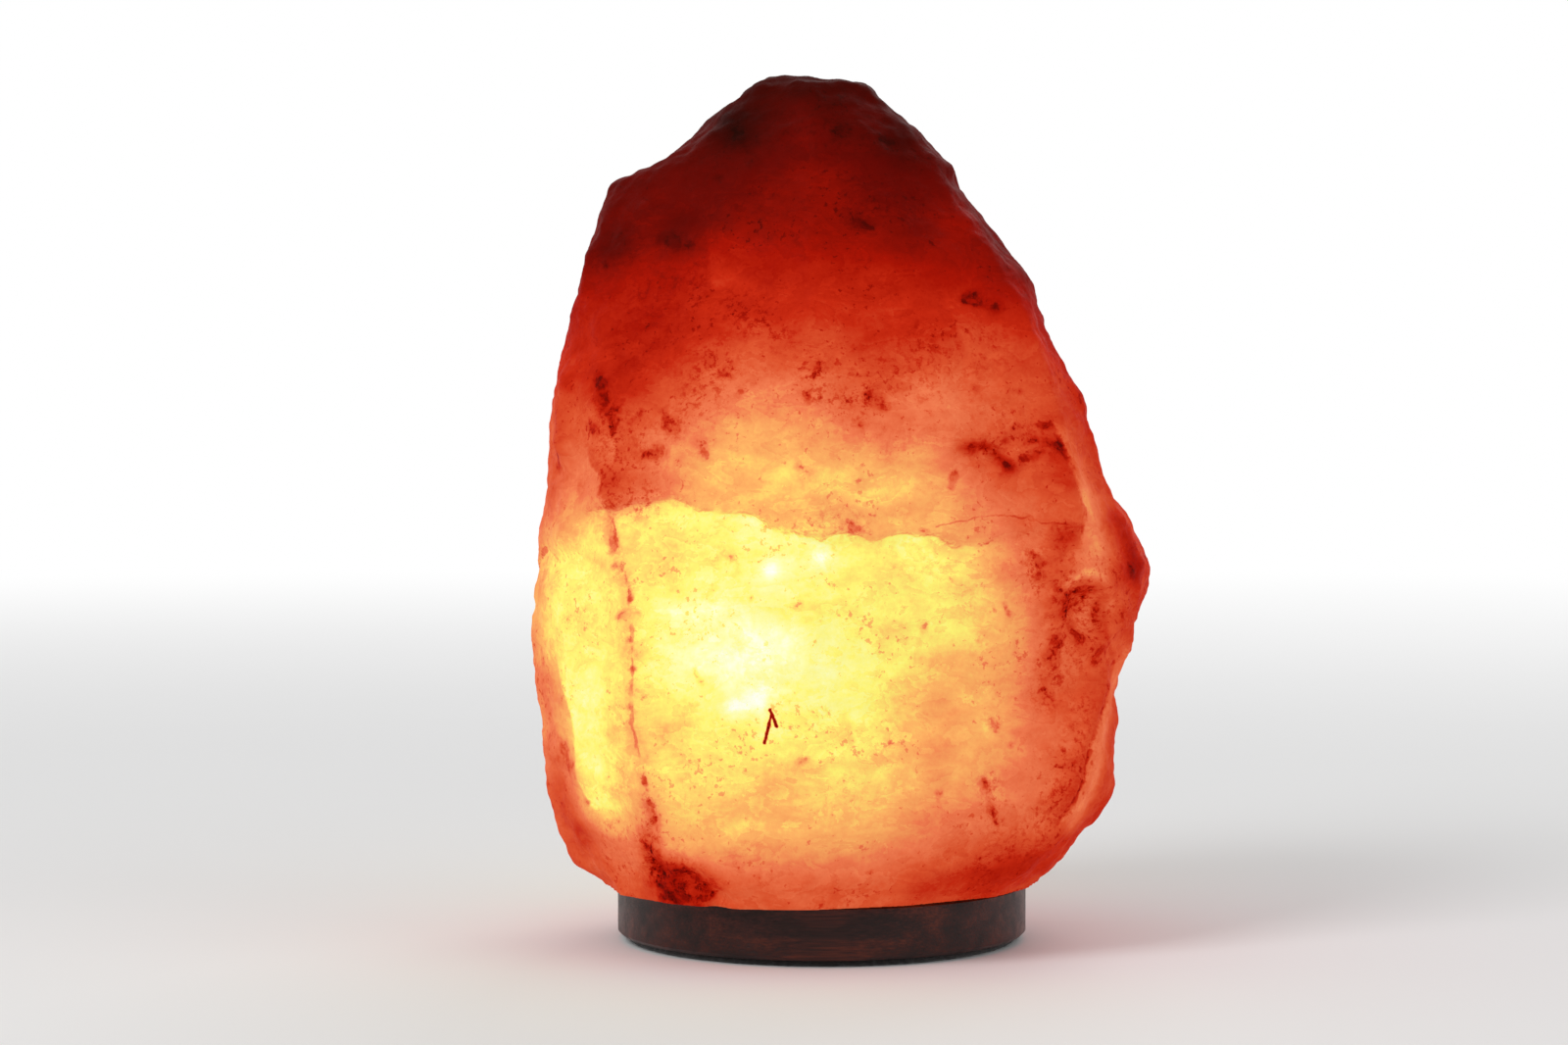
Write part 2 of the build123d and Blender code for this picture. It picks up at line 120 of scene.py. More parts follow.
def even_mesh(name, node, voxel):
    """A copy of a CAD node's skin, meshed again in even faces of a size in millimetres."""
    piece = merge_points(new_object(name, cad_nodes[node].data.copy()))
    remesh = piece.modifiers.new("even_faces", "REMESH")
    remesh.mode = "VOXEL"
    remesh.voxel_size = voxel * MM
    return apply_modifiers(piece)


def points_of(mesh):
    """A mesh's points as an array, in millimetres."""
    flat = np.empty(len(mesh.vertices) * 3)
    mesh.vertices.foreach_get("co", flat)
    return flat.reshape(-1, 3) / MM


def normals_of(mesh):
    flat = np.empty(len(mesh.vertices) * 3, np.float32)
    mesh.vertex_normals.foreach_get("vector", flat)
    return flat.reshape(-1, 3).astype(float)


def move_points(mesh, points):
    mesh.vertices.foreach_set("co", (points * MM).ravel())
    mesh.update()


def relaxed(mesh, points, share, rounds):
    """Points drawn towards the middle of their neighbours by a share from 0 to 1 each."""
    edges = np.empty(len(mesh.edges) * 2, int)
    mesh.edges.foreach_get("vertices", edges)
    one, other = edges.reshape(-1, 2).T
    count = np.bincount(edges, minlength=len(points))[:, None]
    for _ in range(rounds):
        total = np.zeros_like(points)
        for axis in range(points.shape[1]):
            total[:, axis] += np.bincount(one, points[other, axis], len(points))
            total[:, axis] += np.bincount(other, points[one, axis], len(points))
        points = points + share[:, None] * 0.5 * (total / count - points)
    return points


def blurred(mesh, values, rounds):
    """One number per point, evened out over its neighbours."""
    return relaxed(mesh, values[:, None], np.ones(len(values)), rounds)[:, 0]


def store(mesh, name, values):
    """Keeps one number per point, for the material to read."""
    attribute = mesh.attributes.new(name, "FLOAT", "POINT")
    attribute.data.foreach_set("value", values.astype(np.float32))


# --- Numbers over points --------------------------------------------------
def ease(values, start, end):
    """0 before start, 1 after end and a smooth rise between."""
    t = np.clip((values - start) / (end - start), 0, 1)
    return t * t * (3 - 2 * t)


def noise_places(points, size, seed, flatten):
    """Where the points lie in noise with lumps of a size in millimetres, flatter by flatten."""
    offset = Vector((seed * 17.3, seed * 5.1, seed * 9.7))
    return [Vector((x / size, y / size, z * flatten / size)) + offset for x, y, z in points]


def lumps(points, size, seed, flatten=1.0, octaves=1):
    """Smooth noise from about -1 to 1."""
    places = noise_places(points, size, seed, flatten)
    return np.array([noise.fractal(place, 1.0, 2.0, octaves) for place in places])


def layers_of_lumps(points, layers):
    """Lumps of several kinds added up, each given as height, size, seed, flatten, octaves."""
    return sum(height * lumps(points, *kind) for height, *kind in layers)


def scallops(points, size, seed, flatten=1.0):
    """Hollows side by side: 0 on the ridges between them and down to -1 in the middle."""
    values = []
    for place in noise_places(points, size, seed, flatten):
        near, second = noise.voronoi(place)[0][:2]
        values.append(-min(1.0, 1.6 * (second - near)))
    return np.array(values)


def distance_to_line(points, line):
    """How far each point is from a line of straight pieces, in millimetres."""
    best = np.linalg.norm(points - np.array(line[0], float), axis=1)
    corners = np.array(line, float)
    for a, b in zip(corners, corners[1:]):
        along = b - a
        t = np.clip((points - a) @ along / (along @ along), 0, 1)
        best = np.minimum(best, np.linalg.norm(points - a - t[:, None] * along, axis=1))
    return best


# --- Finishes -------------------------------------------------------------
def linear(step):
    share = step / 255
    return share / 12.92 if share <= 0.04045 else ((share + 0.055) / 1.055) ** 2.4


def colour(red, green, blue):
    """A colour given in steps of 0 to 255, as the shader wants it."""
    return (linear(red), linear(green), linear(blue), 1.0)


class Nodes:
    """The nodes of a material or of the world in the making."""

    def __init__(self, owner):
        owner.use_nodes = True
        self.tree = owner.node_tree

    def add(self, kind, inputs=(), **settings):
        """A new node with settings, its inputs fed by number or name."""
        node = self.tree.nodes.new(kind)
        for name, value in settings.items():
            setattr(node, name, value)
        for name, value in dict(inputs).items():
            self.feed(node.inputs[name], value)
        return node

    def feed(self, socket, value):
        """Links an output to a socket, or sets the socket to a plain value."""
        if isinstance(value, bpy.types.NodeSocket):
            self.tree.links.new(value, socket)
        else:
            socket.default_value = value

    def math(self, operation, a, b=0.0):
        return self.add("ShaderNodeMath", {0: a, 1: b}, operation=operation).outputs[0]

    def times(self, value, *factors):
        for factor in factors:
            value = self.math("MULTIPLY", value, factor)
        return value

    def total(self, value, *parts):
        for part in parts:
            value = self.math("ADD", value, part)
        return value

    def mix_shaders(self, share, first, second):
        return self.add("ShaderNodeMixShader", {0: share, 1: first, 2: second}).outputs[0]


class Finish(Nodes):
    """A procedural material in the making: its shader and the nodes that feed it."""

    def __init__(self, name, roughness=0.5, metallic=0.0, specular=0.5):
        self.material = bpy.data.materials.new(name)
        super().__init__(self.material)
        self.shader = self.tree.nodes["Principled BSDF"]
        self.give(Roughness=roughness, Metallic=metallic, Specular_IOR_Level=specular)
        self.place = self.add("ShaderNodeTexCoord").outputs["Object"]

    def give(self, **inputs):
        """Feeds the shader's inputs, written with _ for a space, and returns the material."""
        for name, value in inputs.items():
            self.feed(self.shader.inputs[name.replace("_", " ")], value)
        return self.material

    def attribute(self, name):
        return self.add("ShaderNodeAttribute", attribute_name=name).outputs["Fac"]

    def around_zero(self, value, size):
        """A value from 0 to 1, moved to lie around 0 and to run over a size."""
        return self.times(self.math("SUBTRACT", value, 0.5), size)

    def between(self, value, low, high, out_low=0.0, out_high=1.0):
        """Moves a value's range to another, clamped."""
        ranges = enumerate((value, low, high, out_low, out_high))
        return self.add("ShaderNodeMapRange", ranges, interpolation_type="SMOOTHSTEP").outputs[0]

    def stretched(self, scale):
        return self.add("ShaderNodeMapping", {"Vector": self.place, "Scale": scale}).outputs[0]

    def noise(self, size, detail=3.0, rough=0.5, where=None, twist=0.0):
        """Noise from 0 to 1 with lumps of a size in millimetres."""
        inputs = {
            "Vector": where or self.place, "Scale": 1 / (size * MM), "Detail": detail,
            "Roughness": rough, "Distortion": twist,
        }
        return self.add("ShaderNodeTexNoise", inputs).outputs["Fac"]

    def ramp(self, value, stops):
        """A colour that follows a value. Each stop is a value and a colour in steps to 255."""
        node = self.add("ShaderNodeValToRGB", {0: value})
        line = node.color_ramp.elements
        while len(line) < len(stops):
            line.new(0.5)
        for element, (position, shade) in zip(line, stops):
            element.position = position
            element.color = colour(*shade)
        return node.outputs["Color"]

    def mix(self, share, a, b, blend="MIX"):
        inputs = {0: share, 6: a, 7: b}
        return self.add("ShaderNodeMix", inputs, data_type="RGBA", blend_type=blend).outputs[2]

    def dimmed(self, shade, level):
        return self.mix(1.0, shade, (level, level, level, 1), "MULTIPLY")

    def vector(self, operation, a, b=(0, 0, 0)):
        """Vector arithmetic; a length, dot product or distance comes back as a number."""
        node = self.add("ShaderNodeVectorMath", {0: a, 1: b}, operation=operation)
        return node.outputs[1 if operation in ("DOT_PRODUCT", "DISTANCE", "LENGTH") else 0]

    def bump(self, height, depth, strength=1.0, under=None):
        """Surface relief of a depth in millimetres, where height runs from 0 to 1."""
        inputs = {"Height": height, "Distance": depth * MM, "Strength": strength}
        if under is not None:
            inputs["Normal"] = under
        return self.add("ShaderNodeBump", inputs).outputs["Normal"]


# --- Camera, floor and light ----------------------------------------------
CAMERA_PLACE = (-0.0111, -1.05, 0.157)
CAMERA_PITCH_DEG = 1.9
CAMERA_LENS = 82.1
SENSOR_WIDTH = 36
FLOOR_SIZE = 8.0
FLOOR_SHADE = 0.86
FLOOR_FADE = (0.25, 2.4)     # where the floor runs out into the white background
WORLD_STRENGTH = 0.50
LAMP_AIM = (0, 0, 0.12)      # the middle of the object
# Each lamp's name, place, size and watts.
LAMPS = [
    ("key", (-1.3, -1.3, 1.5), 0.9, 20),
    ("fill", (1.6, -1.0, 1.0), 1.4, 6),
    ("back", (0.6, 1.6, 1.4), 1.2, 8),
]


def make_camera():
    data = bpy.data.cameras.new("camera")
    data.lens = CAMERA_LENS
    data.sensor_width = SENSOR_WIDTH
    camera = new_object("camera", data)
    camera.location = CAMERA_PLACE
    camera.rotation_euler = (math.radians(90 - CAMERA_PITCH_DEG), 0, 0)
    bpy.context.scene.camera = camera


def floor_material():
    """Pale and matt near the lamp, white far away, and open when seen from below."""
    finish = Finish("floor", roughness=0.9, specular=0.1)
    shade = finish.between(finish.noise(400), 0, 1, FLOOR_SHADE - 0.01, FLOOR_SHADE + 0.01)
    finish.give(Base_Color=shade)
    far = finish.between(finish.vector("LENGTH", finish.place), *FLOOR_FADE)
    white = finish.add("ShaderNodeEmission").outputs[0]
    top = finish.mix_shaders(far, finish.shader.outputs[0], white)
    from_below = finish.add("ShaderNodeNewGeometry").outputs["Backfacing"]
    clear = finish.add("ShaderNodeBsdfTransparent").outputs[0]
    surface = finish.tree.nodes["Material Output"].inputs["Surface"]
    finish.feed(surface, finish.mix_shaders(from_below, top, clear))
    return finish.material


def make_floor():
    half = FLOOR_SIZE / 2
    corners = [(-half, -half, 0), (half, -half, 0), (half, half, 0), (-half, half, 0)]
    floor = mesh_object("floor", corners, [(0, 1, 2, 3)])
    dressed(floor, floor_material())


def make_world():
    """Even light from all round; the camera, gloss and glass see it white."""
    world = bpy.data.worlds.new("studio")
    bpy.context.scene.world = world
    nodes = Nodes(world)
    light = nodes.tree.nodes["Background"]
    white = nodes.add("ShaderNodeBackground")
    for background, strength in ((light, WORLD_STRENGTH), (white, 1.0)):
        nodes.feed(background.inputs["Color"], (1, 1, 1, 1))
        nodes.feed(background.inputs["Strength"], strength)
    path = nodes.add("ShaderNodeLightPath")
    seen = path.outputs["Is Camera Ray"]
    for kind in ("Is Glossy Ray", "Is Transmission Ray"):
        seen = nodes.math("MAXIMUM", seen, path.outputs[kind])
    surface = nodes.tree.nodes["World Output"].inputs["Surface"]
    nodes.feed(surface, nodes.mix_shaders(seen, light.outputs[0], white.outputs[0]))


def make_lamps():
    """Square soft lamps that look at the middle of the object."""
    for name, place, size, watts in LAMPS:
        data = bpy.data.lights.new(name, "AREA")
        data.shape = "SQUARE"
        data.size = size
        data.energy = watts
        lamp = new_object(name, data)
        lamp.location = place
        lamp.rotation_euler = (Vector(LAMP_AIM) - Vector(place)).to_track_quat("-Z", "Y").to_euler()


# --- Salt crystal ---------------------------------------------------------
# Sizes here are in millimetres. Places on a side of the crystal are (across, z). A side is
# the axis that runs across it, the axis that looks out of it and which way that one looks.
FRONT = (0, 1, -1)
BACK = (0, 1, 1)
RIGHT = (1, 0, 1)
LEFT = (1, 0, -1)
SALT_VOXEL = 1.15
SALT_BOTTOM = 18.0
SALT_SMOOTHING = 7           # rounds of smoothing for the remeshed block
SIDE_BLUR = 90               # rounds that even out which way the block looks
BORE_R = 23.0
BORE_TOP = 122.0
BORE_REACH = 1.5             # points this near to the bore's wall belong to it
FAR = 99.0                   # further from a mark than its look reaches
LEDGE_STEP = 1.3
LEDGE_ENDS = ((-72, -58), (40, 52))      # where the front's ledge starts and fades out, in x
CRACK_DEPTH = 0.7
SCAR_FADE = 13.0
SCAR_GLOW = 0.035            # how much brighter a scar is for each millimetre of its depth
BORE_GLOW = 0.97
# Lumps all over the rock and in its glow: height, size, seed, flatten and octaves.
ROCK_LUMPS = [(1.0, 42, 1, 1, 1), (0.75, 14, 5, 1.5, 3), (0.4, 7, 6, 1.2, 2), (0.28, 4, 4, 1.4, 2)]
GLOW_LUMPS = [(0.050, 30, 21, 1.6, 1), (0.035, 11, 22, 2.0, 3)]
# A thick layer ends here, so the front stands further out above this line.
LEDGE = [
    (-66.5, 126.5), (-57.8, 128.5), (-49.3, 129.7), (-42.4, 131.2), (-38.2, 129.9), (-34.9, 127.6),
    (-24.6, 127.2), (-19.2, 126.1), (-14.6, 122.9), (-8.2, 121.6), (-0.4, 120), (7.4, 121.4),
    (13.3, 119.3), (17.6, 121.1), (30.9, 120.9), (36.4, 118.2), (45.9, 118.5),
]
LEFT_RIDGE_TOP = [
    (-66.7, 143.9), (-65.7, 139.9), (-62.6, 136.8), (-62.3, 134.6), (-63.5, 131.9), (-61.1, 130),
    (-60.7, 125.7),
]
LEFT_RIDGE = [
    (-60.7, 125.7), (-59.2, 121), (-56.5, 112), (-55, 106), (-53.6, 95), (-53.4, 79), (-53.6, 68),
    (-51.8, 60.4), (-49.7, 54), (-48.6, 47.6), (-46.9, 42), (-49.2, 37), (-48.7, 33.5), (-46.5, 28.5),
]
LEFT_FACE_EDGE = [
    (-76, 83), (-74.2, 76), (-71.4, 68), (-70.6, 62), (-70.7, 55), (-69.9, 50.3), (-67.5, 46),
    (-65, 42.8),
]
UPPER_RIGHT_RIDGE = [(64, 152), (67.3, 144.9), (70.9, 134.8), (73.3, 127.6), (72, 118)]
LOWER_RIGHT_RIDGE = [(83.4, 84), (81.5, 76), (78.5, 68), (75, 61), (73.5, 53), (70.5, 45.6), (66, 39.5)]
PIT_EDGE = [(81.4, 105), (80.2, 98), (80.6, 92), (82.4, 86)]
HAIRLINE = [
    (30.4, 123), (37, 124.6), (43.4, 125.8), (49.5, 126.3), (54.5, 125.4), (57.6, 125.9), (60.7, 123.7),
    (66.9, 123.6), (72, 122.4),
]
BACK_LEDGE = [(-58, 128), (-44, 124), (-30, 127), (-12, 121), (6, 124), (20, 118), (38, 121), (56, 116)]
BACK_SEAM = [(20, 118), (24, 98), (21, 80), (26, 60), (24, 40)]
RIGHT_LEDGE = [(-30, 97), (-14, 92), (4, 95), (20, 104), (40, 110)]
LEFT_LEDGE = [(-28, 112), (-14, 116), (4, 108), (22, 112), (38, 104)]
CRACKS = {
    FRONT: [LEFT_RIDGE, UPPER_RIGHT_RIDGE, LOWER_RIGHT_RIDGE],
    BACK: [BACK_LEDGE, BACK_SEAM],
    RIGHT: [RIGHT_LEDGE],
    LEFT: [LEFT_LEDGE],
}
# Scars of flakes on the other sides: "upright" or "level" for the way the scar's sharp edge
# runs, the edge, how far the scar reaches from it along the axis across the side or up (the
# other way if below 0) and its depth at the edge.
SCARS = {
    BACK: [
        ("level", BACK_LEDGE, -20, 1.6),
        ("upright", BACK_SEAM, 15, 1.4),
        ("upright", [(-42, 186), (-47, 166), (-45, 148), (-52, 132)], 15, 1.7),
        ("upright", [(-55, 116), (-57, 96), (-52, 76), (-54, 56), (-47, 38)], 14, 1.5),
        ("upright", [(-4, 212), (-9, 196), (-3, 178), (-7, 158)], -15, 1.6),
        ("upright", [(28, 204), (35, 186), (32, 168), (40, 150)], 12, 1.5),
        ("level", [(-38, 56), (-24, 50), (-8, 53), (6, 46), (16, 49)], -13, 1.3),
        ("level", [(-4, 160), (10, 164), (22, 158), (36, 161)], -11, 1.2),
        ("upright", [(54, 112), (50, 92), (55, 74)], -10, 1.2),
        ("level", [(30, 66), (44, 62), (58, 65)], -12, 1.2),
    ],
    RIGHT: [
        ("level", RIGHT_LEDGE, -15, 1.4),
        ("upright", [(8, 172), (3, 154), (9, 136), (4, 120)], 14, 1.4),
        ("upright", [(24, 104), (28, 86), (22, 66), (27, 46)], -13, 1.3),
        ("upright", [(-6, 212), (0, 196), (-5, 178)], 12, 1.3),
        ("level", [(-2, 62), (12, 66), (24, 61), (40, 64)], 10, 1.1),
        ("level", [(2, 46), (14, 42), (30, 46)], -9, 1.1),
    ],
    LEFT: [
        ("level", LEFT_LEDGE, -16, 1.4),
        ("upright", [(14, 176), (9, 158), (15, 140), (10, 122)], 13, 1.4),
        ("upright", [(18, 98), (23, 80), (17, 62), (21, 42)], 13, 1.3),
        ("upright", [(10, 214), (5, 200), (9, 186)], 10, 1.2),
        ("level", [(4, 58), (16, 62), (30, 57), (42, 60)], -11, 1.2),
    ],
}
# Pits: place, half width, half height and depth.
HOLLOWS = {
    FRONT: [
        (75, 98.5, 6, 8.5, 2.2), (71, 84, 5, 9, 1.5), (42, 143.5, 7, 2.6, 2), (-37, 25, 5.5, 4, 1.6),
        (-61.5, 158.5, 2.6, 5, 1.8),
    ],
    BACK: [(-18, 104, 12, 7, 1.8), (40, 96, 8, 12, 2), (12, 178, 14, 7, 2.2), (-30, 66, 9, 6, 1.5)],
    RIGHT: [(-8, 77, 36, 9, 2.5), (18, 134, 10, 7, 1.8), (30, 60, 9, 7, 1.6)],
    LEFT: [(26, 118, 9, 7, 1.8), (6, 66, 8, 9, 1.6), (20, 168, 10, 7, 1.6)],
}
# Painted light and shade in the glow: place, radius and how much brighter (darker if below 0).
GLOW_PATCHES = {
    FRONT: [
        (-49, 174, 16, -0.06), (-54, 164, 9, -0.05), (-22, 158, 13, 0.06), (32, 158, 11, 0.11),
        (66, 174, 14, 0.09), (-55, 137, 9, -0.09), (74, 132, 6, 0.06), (76, 114, 7, 0.14),
        (69, 102, 5, -0.1), (67, 119.4, 4, -0.06), (-41, 24, 8, -0.18), (-66, 36, 6, -0.04),
        (-32, 182, 12, -0.05), (18, 178, 14, -0.04), (46, 172, 12, 0.05), (54, 160, 10, 0.05),
        (58, 134, 8, 0.05), (-30, 90, 14, 0.12), (-19, 92, 9, 0.08), (-32, 103, 9, 0.05),
        (30, 69, 16, -0.09), (57, 50, 9, 0.09), (71, 66, 6, 0.05), (17, 82, 15, -0.02),
        (-15.1, 112.1, 2.6, 0.14), (-0.9, 115.3, 2.8, 0.12), (-60, 160, 9, -0.02), (59, 82, 15, -0.07),
        (-26, 70, 11, 0.05), (-36, 42, 20, 0.06), (5, 112, 18, -0.04), (-38, 118, 14, -0.03),
        (-25, 236, 8, -0.06), (-6, 236, 6, 0.04), (-40, 205, 8, -0.04), (0, 217, 12, 0.03),
        (-60, 202, 6, -0.05), (22, 232, 8, -0.03), (-30, 187, 8, 0.03), (40, 207, 8, 0.04),
        (-5, 155, 10, 0.06), (24, 144, 10, 0.07), (65, 95, 9, 0.05), (43, 58, 8, 0.07), (45, 47, 8, 0.05),
        (11, 112, 7, -0.05), (21, 101, 8, -0.05), (-45, 150, 8, 0.04), (-67, 42, 5, 0.11),
        (-60, 38, 5, 0.09), (-50, 47, 4, 0.08), (-43.5, 33, 3.5, 0.1),
    ],
    BACK: [
        (-30, 162, 13, 0.06), (18, 148, 12, -0.05), (46, 172, 10, 0.05), (-52, 108, 9, -0.06),
        (42, 56, 12, -0.06), (-22, 38, 12, 0.04), (10, 206, 12, 0.04), (-34, 198, 10, -0.05),
        (50, 98, 9, 0.08), (-46, 64, 8, -0.07), (4, 132, 12, -0.05), (34, 84, 8, -0.05),
        (-14, 84, 10, 0.05), (8, 62, 9, -0.06), (-26, 116, 8, 0.04),
    ],
    RIGHT: [
        (-18, 142, 10, 0.05), (22, 150, 12, -0.05), (12, 98, 11, 0.08), (36, 76, 9, -0.05),
        (-8, 66, 8, 0.06), (8, 34, 10, -0.05), (0, 184, 11, 0.05), (32, 122, 9, 0.05), (16, 76, 6, -0.05),
        (30, 48, 9, 0.05),
    ],
    LEFT: [
        (-12, 150, 10, 0.05), (22, 146, 10, -0.05), (2, 94, 11, 0.06), (32, 84, 9, 0.06),
        (10, 74, 8, -0.05), (8, 46, 11, 0.05), (30, 128, 8, 0.05), (0, 194, 11, -0.03),
    ],
}
# Painted light and shade in the glow along lines on the front: places, half width, how much brighter.
GLOW_STROKES = [
    ([(-70, 116), (-68, 60)], 9, 0.08), ([(-80, 80), (-76, 48), (-68, 33)], 4, -0.1),
    (LEFT_RIDGE, 2, -0.05), ([(-63, 162), (-60, 155)], 4, -0.05), ([(-77, 116), (-79, 84)], 5, 0.08),
    ([(-24.5, 74.8), (-18.5, 75.4)], 3, 0.13), ([(-64, 49), (-54, 43)], 7, 0.07),
    ([(-46, 36), (60, 36)], 8, 0.04), ([(83.5, 124), (88.5, 116), (89, 108)], 3.5, -0.1),
    ([(38, 144.6), (44, 145.2), (48, 143), (52, 139.4)], 2.2, -0.16),
    ([(42, 141), (52, 137), (62, 141)], 5, -0.05), ([(52, 147), (58, 147), (64, 145.5)], 2.5, -0.06),
    ([(67.6, 106.5), (72.5, 109.8), (76, 109.6), (79, 108)], 1.3, 0.13),
    ([(80.5, 106), (81, 100)], 1.4, 0.07), ([(67, 98), (71, 92), (73, 88)], 3, -0.07),
    ([(66, 92), (63, 84), (62, 76)], 4, -0.05), ([(74, 129), (77, 118)], 5, 0.1),
    ([(28, 23), (62, 28)], 8, -0.1), ([(-50, 46), (-48, 36), (-42, 27), (-32, 24)], 4, -0.13),
    ([(69, 147), (73, 135), (76, 124)], 2, 0.06),
    ([(86.5, 86), (84.5, 76), (79, 60), (76, 48), (70, 38)], 2.4, 0.1),
    ([(66, 118), (62, 106), (60, 92)], 4, -0.06),
]
# Painted light and shade beside the steps where a flake of the front ends: a line, how far the
# change reaches to the right (to the left if below 0) and how much brighter it is there.
FLAKE_EDGE_GLOW = [
    (LEFT_RIDGE_TOP, 8, -0.09), (LEFT_RIDGE_TOP, -6, 0.04), ([(-57.7, 148.3), (-58.6, 140.9)], 5, -0.06),
    ([(-57.7, 148.3), (-58.6, 140.9)], -4, 0.03), (LEFT_FACE_EDGE, 13, 0.06), (LEFT_FACE_EDGE, -6, -0.04),
    ([(-57.4, 62), (-58.4, 49), (-60.4, 46), (-63, 43.9)], -10, 0.03),
    ([(-68.5, 136.5), (-70, 133), (-69, 130)], 3, -0.07), (UPPER_RIGHT_RIDGE, 6, 0.05),
    (UPPER_RIGHT_RIDGE, -4, -0.05), (LOWER_RIGHT_RIDGE, 5, 0.09), (LOWER_RIGHT_RIDGE, -4, -0.03),
    (PIT_EDGE, 4, 0.03), (PIT_EDGE, -4, -0.05), ([(61, 135), (66.5, 130.5)], -8, -0.04),
    ([(6, 76), (9, 60)], 8, 0.03), ([(22, 108), (26, 94), (24, 84)], -9, 0.03),
    ([(-33, 205), (-31, 188)], 12, 0.04), ([(34, 186), (40, 170)], 10, 0.05),
]
# Clouds of fine clay specks: radius, how dense they are, up to 1, and places along a line.
CLOUDS = {
    FRONT: [
        (5, 1, (68, 104), (74, 100), (76, 90)), (5, 0.9, (67, 99), (66, 88), (63, 76)),
        (4, 0.8, (70, 86), (78, 86)), (4, 0.8, (58, 114), (60, 106)), (4, 0.5, (66, 122), (68, 112)),
        (5, 0.8, (-59, 152), (-60, 128), (-50, 131)), (5, 0.45, (44, 145), (56, 149), (66, 145)),
        (4.5, 1, (-46, 27), (-38, 27), (-33, 22)), (2.6, 1, (-48, 48), (-48, 32)),
        (6, 1, (8, 158), (16, 164)), (4, 0.9, (-4, 168), (-2, 160)), (6, 0.7, (-24, 183), (-14, 178)),
        (7, 0.8, (-30, 168), (-34, 158)), (3, 0.8, (46, 52), (48, 40)), (6, 0.6, (26, 174), (30, 160)),
        (4, 0.6, (-4, 124), (10, 124)), (4, 0.6, (-60, 38), (-52, 38)), (5, 0.8, (-43, 151)),
        (8, 0.5, (34, 168), (44, 172)), (7, 0.5, (-10, 235), (12, 233)), (7, 0.4, (-50, 188), (-36, 192)),
        (4, 0.7, (74, 72), (70, 62), (64, 46)), (6, 0.5, (62, 40), (44, 28)),
    ],
    BACK: [
        (6, 0.8, (-50, 122), (-30, 122)), (5, 0.9, (26, 96), (30, 74)), (6, 0.8, (38, 150), (52, 144)),
        (5, 0.7, (-8, 160), (-12, 176)), (6, 0.7, (-36, 54), (-20, 46)), (7, 0.5, (10, 190), (22, 196)),
        (6, 0.8, (52, 50), (40, 34)), (5, 0.8, (-58, 84), (-56, 70)), (8, 0.6, (-30, 196)),
    ],
    RIGHT: [
        (5, 0.8, (-14, 112), (4, 114)), (5, 0.8, (26, 96), (24, 70)), (5, 0.7, (6, 160), (10, 140)),
        (6, 0.7, (14, 40), (32, 42)), (8, 0.5, (-2, 190)), (6, 0.7, (38, 128)),
    ],
    LEFT: [
        (5, 0.7, (-16, 110), (10, 106)), (5, 0.8, (20, 84), (20, 60)), (5, 0.7, (12, 156), (12, 136)),
        (6, 0.8, (28, 54), (38, 50)), (7, 0.5, (6, 196)), (6, 0.6, (-6, 60)),
    ],
}
